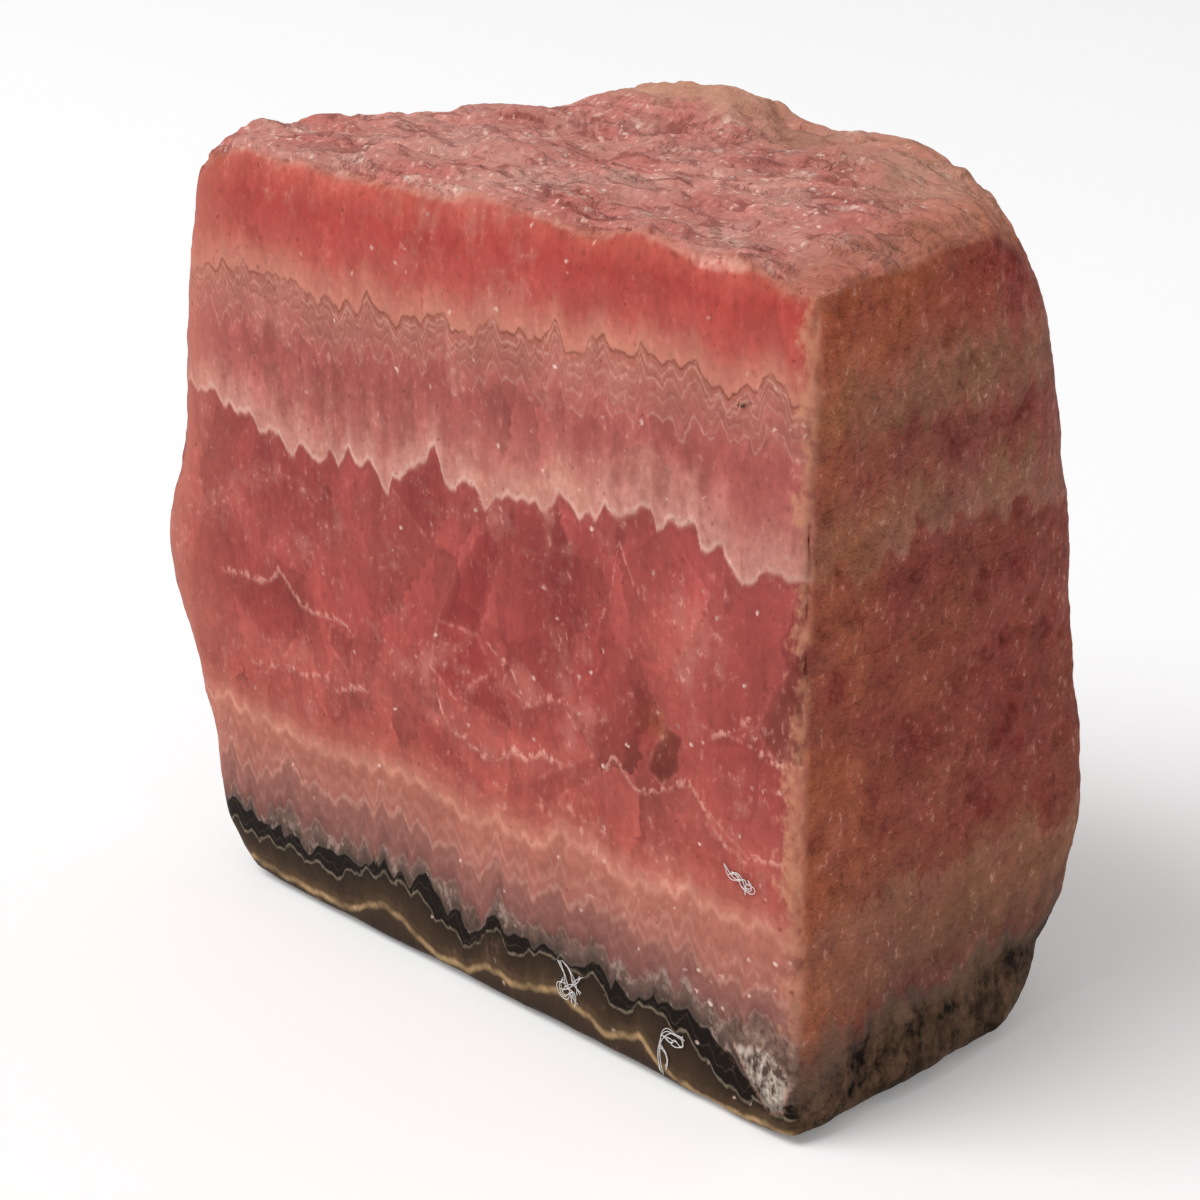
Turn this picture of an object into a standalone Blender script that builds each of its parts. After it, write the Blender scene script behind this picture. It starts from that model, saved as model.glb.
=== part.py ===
"""A hand-size slice of banded rhodochrosite, standing on its dark rind.

One stone, one solid. A block is cut down by the planes of the slice's faces, meshed evenly and
drawn onto the rounded meeting of those planes. Then each kind of face gets its own relief: flat
where it was sawn, in ledges where it broke, lumpy where the rind grew. Metres, +Z up, the sawn
front face towards -Y, origin in the middle of the underside.
"""

import math

import bmesh
import bpy
from mathutils import Vector, noise

MM = 0.001

# Driving dimensions. The faces below are measured from the foot of the arris between the front
# and right faces.
WIDTH = 68 * MM
DEPTH = 31 * MM
HEIGHT = 64 * MM
CELL = 1.74 * MM
FOOT_LEVELLING = 0.16 * MM

# How widely the faces round into each other at a sawn arris and where the stone is worn, and how
# long the chips along the top are, in millimetres.
SAWN_ROUND = 0.35 * MM
WORN_ROUND = 1.3 * MM
CHIP_SIZE = 4.5

# Faces of the slice: a point on each in millimetres, the way it faces, and its kind of surface.
FACES = {
    "front": ((0, 0, 30), (0, -1, 0), "sawn"),
    "right": ((0, 12, 30), (1, 0, 0), "joint"),
    "right_back_high": ((0, 24.0, 50), (0.70, 0.70, 0.24), "joint"),
    "right_back_middle": ((0, 31.2, 30), (0.70, 0.70, 0.06), "joint"),
    "right_back_low": ((0, 34.0, 16), (0.70, 0.70, -0.02), "joint"),
    "right_back_foot": ((0, 32.4, 4.5), (0.64, 0.70, -0.34), "joint"),
    "back": ((-25, 30.8, 20), (0.0, 1, 0.05), "sawn_back"),
    "left_back": ((-52.6, 17.6, 30), (-0.74, 0.67, 0.0), "broken"),
    "left_high": ((-62.6, 8, 46), (-1, -0.05, 0.16), "broken"),
    "left_middle": ((-65.9, 8, 32), (-1, -0.1, 0.24), "broken"),
    "left_low": ((-66.2, 8, 21), (-1, -0.1, -0.30), "broken"),
    "left_front": ((-61.9, 0, 30), (-0.66, -0.75, 0.0), "broken"),
    "top_left_corner": ((-58.4, 4, 58.2), (-0.85, -0.2, 0.8), "broken"),
    "top": ((-12, 0, 57.6), (0.015, -0.07, 1), "broken_top"),
    "top_left": ((-50, 12, 59.6), (-0.22, 0.22, 1), "broken_top"),
    "top_right_back": ((-3.6, 21.8, 58.2), (0.54, 0.55, 0.64), "broken_top"),
    "underside": ((0, 0, -0.4), (0, 0, -1), "rind"),
    "underside_left": ((-59.2, 2, 2.4), (-0.72, -0.1, -0.69), "rind"),
    "underside_back": ((-20, 27.6, 2.0), (0.1, 0.7, -0.72), "rind"),
    "underside_right": ((1.2, 21, 0.0), (0.62, 0.4, -0.70), "rind"),
}

# Unevenness of each kind of surface in millimetres: how long its waves are, how high, and a seed.
WAVES = {
    "sawn": ((14, 0.04, 3.1),),
    "joint": ((11, 0.45, 8.2), (4.5, 0.30, 1.4)),
    "broken": ((9, 0.30, 5.5), (4, 0.25, 2.2)),
    "broken_top": ((5, 0.35, 7.7),),
    "sawn_back": ((16, 0.35, 9.4), (5, 0.20, 6.1)),
    "rind": (),
}

# Pits, scars and bulges in millimetres: the centre, the radius and how far each stands out.
FEATURES = {
    "sawn": (((-12.9, 0, 25.8), 2.4, -1.2), ((-4.4, 0, 28.9), 3.6, -0.25)),
    "joint": (((0, 10, 26), 4.5, -0.8), ((0, 17, 38), 4.0, -0.6), ((-1, 29, 15), 12.0, 1.5)),
    "broken": (),
    "broken_top": (((-54, 8, 58), 10.0, 0.9),),
    "sawn_back": (((-42, 29, 44), 7.0, -0.8), ((-14, 29, 30), 6.0, -0.6)),
    "rind": (((0, 0, 0), 4.0, -1.2),),
}

# Swellings round the left end: the height, how far each stands out, and how tall it is.
LEFT_SWELLINGS = ((24.5, 2.3, 7.0), (8.5, -1.2, 3.5), (43.0, 0.3, 8.0))

# The broken top, in millimetres: its ledges, and the hump along its back edge.
LEDGE_STEP = 0.5
LEDGE_WIDTH = 3.1
LEDGE_STRETCH = 2.5
HUMP_HEIGHT = 2.4
HUMP_ALONG = (-43, -37, -28, -23.5)
HUMP_BEHIND = (17, 24)
HUMP_SMOOTHNESS = 0.7

# The rind, in millimetres: the knobs' size, the grooves between them, and how far they swell out.
KNOB_SIZE = 8.5
GROOVE_DEPTH = 0.5
GROOVE_SHARE = 0.25
FRONT_LEFT_LIFT = 0.35
SIDE_KNOB_SIZE = 5.5
SIDE_KNOB_OUT = (0.3, 1.3)
SIDE_KNOB_TOP = (1.0, 5.0)


def unit(way):
    """The direction as a vector of length 1."""
    return Vector(way).normalized()


def smooth_step(low, high, value):
    """0 below low, 1 above high and a smooth rise between them."""
    share = min(1.0, max(0.0, (value - low) / (high - low)))
    return share * share * (3 - 2 * share)


def swell(place, wave, seed):
    """Smooth noise of about -1 to 1 whose waves are this long."""
    return noise.noise(place / wave + Vector((seed, 2.7 * seed, -seed)))


def dome(place, centre, radius):
    """1 at the centre of a round bump, falling to 0 at its radius, in millimetres."""
    return 1 - smooth_step(0.0, radius, (place - Vector(centre)).length)


def end_swellings(place):
    """How far the left end swells or narrows at this height."""
    return sum(out * math.exp(-(((place.z - height) / tall) ** 2)) for height, out, tall in LEFT_SWELLINGS)


def ledges(place):
    """Low terraces that run along X, as cleavage leaves them on a broken face."""
    along = Vector((place.x / LEDGE_STRETCH, place.y, 0)) / (2.6 * LEDGE_WIDTH) + Vector((4, 0, 0))
    level = 2.6 * noise.fractal(along, 0.9, 2.1, 3)
    whole = math.floor(level)
    return LEDGE_STEP * (whole + smooth_step(0.5, 1.0, level - whole))


def hump(place):
    """1 on the hump along the back edge of the top and 0 away from it."""
    rise, shoulder, brow, foot = HUMP_ALONG
    along = smooth_step(rise, shoulder, place.x) * (1 - smooth_step(brow, foot, place.x))
    return along * smooth_step(*HUMP_BEHIND, place.y)


def rind_hollows(place):
    """Grooves between the knobs under the rind, and a lift clear of the floor at the front left."""
    nearest, second = noise.voronoi(place / KNOB_SIZE)[0][:2]
    groove = 1 - smooth_step(0.0, GROOVE_SHARE, second - nearest)
    clear = smooth_step(-12, -24, place.x) * (1 - smooth_step(2, 7, place.y))
    return -GROOVE_DEPTH * groove - FRONT_LEFT_LIFT * clear


def relief(kind, place):
    """How far this kind of surface stands out of its plane at a place, in millimetres."""
    height = sum(tall * swell(place, wave, seed) for wave, tall, seed in WAVES[kind])
    if kind == "broken_top":
        on_hump = hump(place)
        height = (1 - HUMP_SMOOTHNESS * on_hump) * (height + ledges(place)) + HUMP_HEIGHT * on_hump
    elif kind == "broken":
        height += end_swellings(place)
    elif kind == "rind":
        height += rind_hollows(place)
    return height + sum(out * dome(place, centre, radius) for centre, radius, out in FEATURES[kind])


def cut_block():
    """A block cut down by the plane of every face."""
    bm = bmesh.new()
    bmesh.ops.create_cube(bm, size=1.0)
    bmesh.ops.scale(bm, verts=bm.verts, vec=(WIDTH, DEPTH, HEIGHT))
    bmesh.ops.translate(bm, verts=bm.verts, vec=(-WIDTH / 2, DEPTH / 2, HEIGHT / 2))
    for point, way, _ in FACES.values():
        parts = bm.verts[:] + bm.edges[:] + bm.faces[:]
        cut = bmesh.ops.bisect_plane(
            bm, geom=parts, dist=1e-7, plane_co=Vector(point) * MM, plane_no=unit(way), clear_outer=True
        )
        rim = [part for part in cut["geom_cut"] if isinstance(part, bmesh.types.BMEdge)]
        if rim:
            bmesh.ops.contextual_create(bm, geom=rim)
    mesh = bpy.data.meshes.new("banded_stone_blank")
    bm.to_mesh(mesh)
    bm.free()
    return bpy.data.objects.new("banded_stone_blank", mesh)


def evenly_meshed(blank, collection):
    """The blank's surface as an even mesh, through a Remesh modifier."""
    collection.objects.link(blank)
    remesh = blank.modifiers.new("even_cells", "REMESH")
    remesh.mode = "VOXEL"
    remesh.voxel_size = CELL
    remesh.adaptivity = 0.0
    graph = bpy.context.evaluated_depsgraph_get()
    mesh = bpy.data.meshes.new_from_object(blank.evaluated_get(graph))
    bpy.data.objects.remove(blank)
    return mesh


def rounding(place):
    """How widely faces round into each other here: tight along the front, wide elsewhere."""
    chipped = smooth_step(53.0, 56.0, place.z / MM) * (0.5 + 0.7 * swell(place / MM, CHIP_SIZE, 3.3))
    behind = max(chipped, smooth_step(1.0, 9.0, place.y / MM))
    inward = smooth_step(6.0, 20.0, -place.x / MM)
    left = smooth_step(-44.0, -56.0, place.x / MM)
    worn = max(behind, 0.35 * inward * left) * (0.3 + 0.7 * smooth_step(1.0, 12.0, place.z / MM))
    return SAWN_ROUND + worn * (WORN_ROUND - SAWN_ROUND)


def meeting(place, width):
    """Distance inside the rounded meeting of the planes, and each face's share of it."""
    depths = {n: unit(way).dot(Vector(point) * MM - place) for n, (point, way, _) in FACES.items()}
    nearest = min(depths.values())
    shares = {n: math.exp((nearest - d) / width) for n, d in depths.items()}
    total = sum(shares.values())
    return nearest - width * math.log(total), {n: s / total for n, s in shares.items()}


def drawn_to_faces(place):
    """The nearest point of the rounded stone, and the share of each face there."""
    width = rounding(place)
    for _ in range(5):
        inside, shares = meeting(place, width)
        slope = sum((unit(FACES[n][1]) * s for n, s in shares.items()), Vector())
        place = place + slope * (inside / slope.length_squared)
    return place, shares


def shape_stone(bm):
    """Draws the mesh onto the faces of the slice and gives each face its relief."""
    for vert in bm.verts:
        place, shares = drawn_to_faces(vert.co)
        offset = Vector()
        for name, share in shares.items():
            if share > 0.01:
                _, way, kind = FACES[name]
                offset += unit(way) * (share * relief(kind, place / MM))
        vert.co = place + offset * MM


def rind_knobs(bm):
    """Swells the foot of the sides into the low knobs that the rind grew in."""
    least, most = SIDE_KNOB_OUT
    for vert in bm.verts:
        place = vert.co / MM
        band = 1 - smooth_step(*SIDE_KNOB_TOP, place.z)
        if band == 0.0:
            continue
        outward = Vector((vert.co.x + WIDTH / 2, 2 * vert.co.y - DEPTH, 0)).normalized()
        knob = 0.5 + 0.5 * swell(Vector((place.x, place.y, 0)), SIDE_KNOB_SIZE, 12.3)
        raised = smooth_step(0.0, 0.6, place.z) * smooth_step(0.0, 2.5, place.y)
        vert.co += outward * (band * raised * (least + (most - least) * knob) * MM)


def level_foot(bm):
    """Brings what nearly reaches the foot onto one plane, and puts the origin in its middle."""
    lowest = min(vert.co.z for vert in bm.verts)
    for vert in bm.verts:
        if vert.co.z < lowest + FOOT_LEVELLING:
            vert.co.z = lowest
    low = Vector([min(v.co[axis] for v in bm.verts) for axis in range(3)])
    high = Vector([max(v.co[axis] for v in bm.verts) for axis in range(3)])
    shift = Vector((-(low.x + high.x) / 2, -(low.y + high.y) / 2, -low.z))
    bmesh.ops.translate(bm, verts=bm.verts, vec=shift)
    print("working corner moved by", [round(c / MM, 3) for c in shift], "mm")


def stone_finish():
    """Rose stone with a satin surface."""
    material = bpy.data.materials.new("rose_stone")
    material.use_nodes = True
    shader = material.node_tree.nodes["Principled BSDF"]
    shader.inputs["Base Color"].default_value = (0.47, 0.14, 0.12, 1.0)
    shader.inputs["Roughness"].default_value = 0.45
    shader.inputs["Metallic"].default_value = 0.0
    return material


def build_stone(collection):
    """The whole slice as one closed mesh."""
    mesh = evenly_meshed(cut_block(), collection)
    mesh.name = "banded_stone"
    bm = bmesh.new()
    bm.from_mesh(mesh)
    shape_stone(bm)
    rind_knobs(bm)
    level_foot(bm)
    bmesh.ops.triangulate(bm, faces=bm.faces, quad_method="SHORT_EDGE")
    bm.to_mesh(mesh)
    bm.free()
    mesh.shade_smooth()
    mesh.materials.clear()
    mesh.materials.append(stone_finish())
    return bpy.data.objects.new("banded_stone", mesh)


def main():
    """Clears the scene and builds the slice in a collection of its own."""
    for old in list(bpy.data.objects):
        bpy.data.objects.remove(old)
    collection = bpy.data.collections.new("rhodochrosite_slice")
    bpy.context.scene.collection.children.link(collection)
    collection.objects.link(build_stone(collection))


main()
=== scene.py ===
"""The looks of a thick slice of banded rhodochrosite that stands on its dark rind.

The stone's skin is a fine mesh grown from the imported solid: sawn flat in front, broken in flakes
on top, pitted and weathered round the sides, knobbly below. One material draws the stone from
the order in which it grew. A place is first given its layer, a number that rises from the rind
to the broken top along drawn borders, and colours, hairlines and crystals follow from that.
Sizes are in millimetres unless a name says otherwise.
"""

import itertools
import logging
import math
from dataclasses import dataclass, field, replace
from enum import Enum
from functools import partial
from typing import Any, Callable, Optional, Sequence, Union

import bmesh
import bpy
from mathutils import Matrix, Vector


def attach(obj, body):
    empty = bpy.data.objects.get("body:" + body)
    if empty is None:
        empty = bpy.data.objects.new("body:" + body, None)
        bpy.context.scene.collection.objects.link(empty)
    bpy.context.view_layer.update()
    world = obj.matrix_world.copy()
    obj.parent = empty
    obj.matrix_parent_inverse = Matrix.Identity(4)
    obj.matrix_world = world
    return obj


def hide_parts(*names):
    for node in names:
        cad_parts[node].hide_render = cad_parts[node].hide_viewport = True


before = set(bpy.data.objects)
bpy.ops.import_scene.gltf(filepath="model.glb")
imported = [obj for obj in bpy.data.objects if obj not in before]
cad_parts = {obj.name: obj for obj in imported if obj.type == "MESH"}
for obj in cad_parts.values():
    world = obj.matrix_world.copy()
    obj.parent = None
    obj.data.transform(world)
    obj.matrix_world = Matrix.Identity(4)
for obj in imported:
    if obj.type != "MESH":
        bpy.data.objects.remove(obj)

LOG = logging.getLogger("rhodochrosite_slice")
MM = 0.001
STONE = "banded_stone"
SAWN_Y = -15.485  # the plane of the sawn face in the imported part
HEART_FROM = 6.0  # the layer number from which the red heart reaches up
STONE_GLOSS = 0.06
STONE_REFRACTION = 1.5

Colour = tuple[float, float, float]
Point = tuple[float, float]
Feed = Union["Wire", float, int, bool, str, Sequence[float], None]


def paint(red: int, green: int, blue: int) -> Colour:
    """Turns a colour as the eye names it, 0 to 255, into linear light.

    Args:
        red: Red as displayed.
        green: Green as displayed.
        blue: Blue as displayed.

    Returns:
        The colour in linear light.
    """

    def linear(level: int) -> float:
        """One part of the colour in linear light."""
        share = level / 255
        return share / 12.92 if share <= 0.04045 else ((share + 0.055) / 1.055) ** 2.4

    return linear(red), linear(green), linear(blue)


class Border(Enum):
    """The borders between layers, from the rind up, each as its name in the drawing."""

    TAN = "top of the tan rind"
    GREY = "grey hairline in the dark band"
    BLACK = "top of the black band"
    TEETH = "top of the grey crystal teeth"
    MAUVE = "top of the mauve zigzags"
    PEACH = "top of the peach band"
    WHITE = "foot of the white teeth"
    FRINGE = "foot of the fine fringe"
    CORAL = "foot of the coral layer"


class Zone(Enum):
    """The parts of the sawn face that have drawings of their own, so that a point works out only one of them."""

    FOOT = "foot"
    HEART = "heart"
    HEAD = "head"


class Wire:
    """A socket of a node tree that can be used in arithmetic."""

    def __init__(self, sheet: "NodeSheet", socket: bpy.types.NodeSocket) -> None:
        """Wraps one output socket of the sheet's tree."""
        self.sheet = sheet
        self.socket = socket

    def math(self, operation: str, *others: Feed) -> "Wire":
        """Adds a Math node that starts from this value.

        Args:
            operation: The Math node's operation.
            others: The remaining inputs, wires or numbers.

        Returns:
            The node's value.
        """
        feeds = {0: self, **{index + 1: other for index, other in enumerate(others)}}
        return self.sheet.add("ShaderNodeMath", {"operation": operation}, feeds)

    def __add__(self, other: Feed) -> "Wire":
        """Sum."""
        return self.math("ADD", other)

    def __radd__(self, other: Feed) -> "Wire":
        """Sum, written the other way round."""
        return self.math("ADD", other)

    def __sub__(self, other: Feed) -> "Wire":
        """Difference."""
        return self.math("SUBTRACT", other)

    def __rsub__(self, other: Feed) -> "Wire":
        """Difference, written the other way round."""
        return self.sheet.add("ShaderNodeMath", {"operation": "SUBTRACT"}, {0: other, 1: self})

    def __mul__(self, other: Feed) -> "Wire":
        """Product."""
        return self.math("MULTIPLY", other)

    def __rmul__(self, other: Feed) -> "Wire":
        """Product, written the other way round."""
        return self.math("MULTIPLY", other)

    def __truediv__(self, other: Feed) -> "Wire":
        """Quotient."""
        return self.math("DIVIDE", other)

    def __rtruediv__(self, other: Feed) -> "Wire":
        """Quotient, written the other way round."""
        return self.sheet.add("ShaderNodeMath", {"operation": "DIVIDE"}, {0: other, 1: self})

    def __abs__(self) -> "Wire":
        """Size without its sign."""
        return self.math("ABSOLUTE")

    def lowest(self, other: Feed) -> "Wire":
        """The smaller of this and another value."""
        return self.math("MINIMUM", other)

    def highest(self, other: Feed) -> "Wire":
        """The larger of this and another value."""
        return self.math("MAXIMUM", other)

    def rise(self, low: Feed, high: Feed) -> "Wire":
        """A smooth step from 0 at low to 1 at high.

        Args:
            low: Where the step starts.
            high: Where it ends.

        Returns:
            The step's height here.
        """
        settings = {"interpolation_type": "SMOOTHSTEP", "clamp": True}
        feeds = {"Value": self, "From Min": low, "From Max": high}
        return self.sheet.add("ShaderNodeMapRange", settings, feeds, out="Result")

    def fall(self, low: Feed, high: Feed) -> "Wire":
        """A smooth step from 1 at low down to 0 at high."""
        return 1 - self.rise(low, high)

    def between(self, low: Feed, top: Feed, edge: Feed, high: Feed) -> "Wire":
        """1 from top to edge, with a smooth slope up from low and one down to high."""
        return self.rise(low, top) * self.fall(edge, high)

    def share(self, low: Feed, high: Feed, start: Feed = 0.0, end: Feed = 1.0) -> "Wire":
        """A straight, clamped mapping of low..high onto start..end.

        Args:
            low: Value that gives start.
            high: Value that gives end.
            start: Result at low.
            end: Result at high.

        Returns:
            The mapped value.
        """
        feeds = {"Value": self, "From Min": low, "From Max": high, "To Min": start, "To Max": end}
        return self.sheet.add("ShaderNodeMapRange", {"clamp": True}, feeds, out="Result")


MEAN_TIP = 0.27  # mean distance to the nearest centre of a one-dimensional cell pattern, as a share of a cell
NOISE_GAIN = 1.3  # spreads the noise node's output, which keeps near 0.5, over about -1 to 1
SOCKET_KINDS = {"VALUE": "NodeSocketFloat", "VECTOR": "NodeSocketVector", "RGBA": "NodeSocketColor"}


class NodeSheet:
    """A node tree with short ways to add nodes to it."""

    def __init__(self, tree: bpy.types.NodeTree) -> None:
        """Starts on a tree."""
        self.tree = tree

    def add(
        self,
        kind: str,
        settings: Optional[dict[str, Any]] = None,
        feeds: Optional[dict[Union[str, int], Feed]] = None,
        out: Union[str, int] = 0,
    ) -> Wire:
        """Adds a node.

        Args:
            kind: The node's type.
            settings: Its own settings, set before its sockets are fed.
            feeds: Values or wires for its input sockets, by name or place.
            out: The output to return, by name or place.

        Returns:
            The chosen output.
        """
        node = self.tree.nodes.new(kind)
        for name, value in (settings or {}).items():
            if name == "stops":
                self._set_stops(node, value)
            elif name == "points":
                self._set_points(node, value)
            else:
                setattr(node, name, value)
        for name, value in (feeds or {}).items():
            self.feed(self._socket(node.inputs, name), value)
        return Wire(self, self._socket(node.outputs, out))

    def end(self, kind: str, name: str, wire: Wire) -> None:
        """Adds the tree's last node and feeds one of its sockets."""
        node = self.tree.nodes.new(kind)
        self.tree.links.new(wire.socket, self._socket(node.inputs, name))

    def feed(self, socket: bpy.types.NodeSocket, value: Feed) -> None:
        """Links a wire to a socket, or sets the socket's own value.

        Args:
            socket: The input socket.
            value: A wire or a value; None leaves the socket as it is.
        """
        if isinstance(value, Wire):
            self.tree.links.new(value.socket, socket)
        elif value is not None:
            if isinstance(value, (tuple, list)) and len(value) == 3 and socket.type == "RGBA":
                value = (*value, 1.0)
            socket.default_value = value

    @staticmethod
    def _socket(sockets: Any, name: Union[str, int]) -> bpy.types.NodeSocket:
        """Finds a socket among those in use.

        Args:
            sockets: The node's inputs or outputs.
            name: The socket's place, identifier or name.

        Returns:
            The socket.
        """
        if isinstance(name, int):
            return sockets[name]
        for socket in sockets:
            if socket.identifier == name and socket.enabled:
                return socket
        return next(socket for socket in sockets if socket.name == name and socket.enabled)

    @staticmethod
    def _set_stops(node: bpy.types.Node, stops: Sequence[tuple[float, Colour]]) -> None:
        """Gives a colour ramp its stops.

        Args:
            node: The ramp.
            stops: Each stop's place, 0 to 1, and colour, in order.
        """
        elements = node.color_ramp.elements
        while len(elements) > 1:
            elements.remove(elements[-1])
        elements[0].position = stops[0][0]
        elements[0].color = (*stops[0][1], 1.0)
        for position, colour in stops[1:]:
            elements.new(position).color = (*colour, 1.0)

    @staticmethod
    def _set_points(node: bpy.types.Node, points: Sequence[Point]) -> None:
        """Gives a float curve its points, joined by straight lines.

        Args:
            node: The curve's node.
            points: The points from left to right, both parts 0 to 1.
        """
        curve = node.mapping.curves[0]
        curve.points[0].location = points[0]
        curve.points[1].location = points[-1]
        for point in points[1:-1]:
            curve.points.new(*point)
        for point in curve.points:
            point.handle_type = "VECTOR"
        node.mapping.update()

    def section(self, name: str, make: Callable[..., Any], at: Optional["Spot"] = None, **takes: Wire) -> Any:
        """Builds one step in a node group of its own and sets the group in this tree.

        Args:
            name: The group's name.
            make: The step; it takes the group's sheet, the spot if one is given and the wires by name.
            at: The spot, if the step needs it.
            takes: Other wires that the step needs.

        Returns:
            The step's wire, or a tuple of them.
        """
        group = bpy.data.node_groups.new(name, self.tree.bl_idname)
        known = at.known() if at else {}
        wires = {**known, **takes}
        for key, wire in wires.items():
            group.interface.new_socket(key, in_out="INPUT", socket_type=SOCKET_KINDS[wire.socket.type])
        inner = NodeSheet(group)
        given = group.nodes.new("NodeGroupInput")
        ports = {key: Wire(inner, given.outputs[key]) for key in wires}
        parts = {key: ports[key] for key in takes}
        if at:
            parts["at"] = Spot(**{key: ports[key] for key in known})
        made = make(inner, **parts)
        results = made if isinstance(made, tuple) else (made,)
        for index, wire in enumerate(results):
            kind = SOCKET_KINDS[wire.socket.type]
            group.interface.new_socket(f"made_{index}", in_out="OUTPUT", socket_type=kind)
        last = group.nodes.new("NodeGroupOutput")
        for index, wire in enumerate(results):
            group.links.new(wire.socket, last.inputs[index])
        holder = self.tree.nodes.new("ShaderNodeGroup")
        holder.node_tree = group
        for key, wire in wires.items():
            self.tree.links.new(wire.socket, holder.inputs[key])
        outer = tuple(Wire(self, holder.outputs[index]) for index in range(len(results)))
        return outer if isinstance(made, tuple) else outer[0]

    def blend(self, factor: Feed, first: Feed, second: Feed, mode: str = "MIX") -> Wire:
        """Mixes two colours.

        Args:
            factor: Share of the second colour.
            first: The colour under it.
            second: The colour laid over.
            mode: The way they are laid.

        Returns:
            The mixed colour.
        """
        settings = {"data_type": "RGBA", "blend_type": mode, "clamp_factor": True}
        feeds = {"Factor_Float": factor, "A_Color": first, "B_Color": second}
        return self.add("ShaderNodeMix", settings, feeds, out="Result_Color")

    def lit(self, colour: Wire, factor: Feed) -> Wire:
        """A colour made lighter or darker by a factor."""
        return self.add("ShaderNodeHueSaturation", None, {"Color": colour, "Value": factor}, out="Color")

    def place(self, x: Feed, y: Feed, z: Feed) -> Wire:
        """A vector from its three parts."""
        return self.add("ShaderNodeCombineXYZ", None, {0: x, 1: y, 2: z})

    def mixed(self, factor: Wire, first: Wire, second: Wire) -> Wire:
        """Mixes two shaders; a point where the factor is 0 or 1 works out only one of them."""
        return self.add("ShaderNodeMixShader", None, {0: factor, 1: first, 2: second})

    def attribute(self, name: str) -> Wire:
        """A mask that the piece's mesh carries."""
        settings = {"attribute_type": "GEOMETRY", "attribute_name": name}
        return self.add("ShaderNodeAttribute", settings, out="Fac")

    def parts(self, vector: Wire) -> tuple[Wire, Wire, Wire]:
        """The three parts of a vector, as lengths along the axes."""
        return tuple(self.along(vector, axis) for axis in ((1.0, 0.0, 0.0), (0.0, 1.0, 0.0), (0.0, 0.0, 1.0)))

    def along(self, vector: Wire, axis: Sequence[float]) -> Wire:
        """The dot product of a vector and a fixed axis."""
        settings = {"operation": "DOT_PRODUCT"}
        return self.add("ShaderNodeVectorMath", settings, {0: vector, 1: tuple(axis)}, out="Value")

    def here(self) -> Wire:
        """The place on the piece in millimetres, read afresh in each tree of a material."""
        return self.scaled(self.add("ShaderNodeTexCoord", out="Object"), 1 / MM)

    def scaled(self, vector: Wire, factor: Feed) -> Wire:
        """A vector made longer by a factor."""
        return self.add("ShaderNodeVectorMath", {"operation": "SCALE"}, {0: vector, "Scale": factor})

    def moved(self, vector: Wire, offset: Feed) -> Wire:
        """A vector with another added to it."""
        return self.add("ShaderNodeVectorMath", {"operation": "ADD"}, {0: vector, 1: offset})

    def stretched(self, vector: Wire, factors: Sequence[float]) -> Wire:
        """A vector with each part multiplied by its own factor."""
        return self.add("ShaderNodeVectorMath", {"operation": "MULTIPLY"}, {0: vector, 1: tuple(factors)})

    def cloud(self, vector: Wire, size: float, detail: float = 2.0, rough: float = 0.5) -> Wire:
        """Soft noise around 0, about -1 to 1.

        Args:
            vector: Where to read it, in millimetres.
            size: The width of its patches in millimetres.
            detail: How many finer layers it has.
            rough: How strong the finer layers are.

        Returns:
            The noise.
        """
        feeds = {"Vector": vector, "Scale": 1 / size, "Detail": detail, "Roughness": rough}
        return self.add("ShaderNodeTexNoise", None, feeds) * (2 * NOISE_GAIN) - NOISE_GAIN

    def shares(self, colour: Wire) -> tuple[Wire, Wire, Wire]:
        """Takes a colour apart, in a material or in a shape's tree.

        Args:
            colour: The colour.

        Returns:
            Its three parts.
        """
        shader = self.tree.bl_idname == "ShaderNodeTree"
        kind = "ShaderNodeSeparateColor" if shader else "FunctionNodeSeparateColor"
        first = self.add(kind, None, {"Color": colour})
        node = first.socket.node
        return first, Wire(self, node.outputs[1]), Wire(self, node.outputs[2])

    def cells(self, vector: Wire, size: float) -> "Cells":
        """A cell pattern, read once for all that is wanted of it.

        Args:
            vector: Where to read it, in millimetres.
            size: The width of a cell in millimetres.

        Returns:
            The cell's random numbers, the distance to its centre and the centre.
        """
        scaled = self.scaled(vector, 1 / size)
        distance = self.add("ShaderNodeTexVoronoi", None, {"Vector": scaled, "Scale": 1.0}, out="Distance")
        node = distance.socket.node
        feeds = {0: scaled, 1: Wire(self, node.outputs["Position"])}
        inner = self.add("ShaderNodeVectorMath", {"operation": "SUBTRACT"}, feeds)
        return Cells(self.shares(Wire(self, node.outputs["Color"])), distance, inner)

    def spikes(self, run: Wire, size: float) -> Wire:
        """A zigzag with sharp tips both ways and uneven steps, around 0, in millimetres.

        Args:
            run: How far along the zigzag, in millimetres.
            size: The mean distance between tips.

        Returns:
            The height of the zigzag.
        """
        feeds = {"W": run, "Scale": 1 / size}
        distance = self.add("ShaderNodeTexVoronoi", {"voronoi_dimensions": "1D"}, feeds, out="Distance")
        return distance * size - size * MEAN_TIP


@dataclass(frozen=True)
class Cells:
    """What a cell pattern tells of one place.

    Attributes:
        dice: Three random numbers of the cell.
        distance: The distance to the cell's centre, as a share of a cell.
        inner: The way from the cell's centre to the place.
    """

    dice: tuple[Wire, Wire, Wire]
    distance: Wire
    inner: Wire


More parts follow.
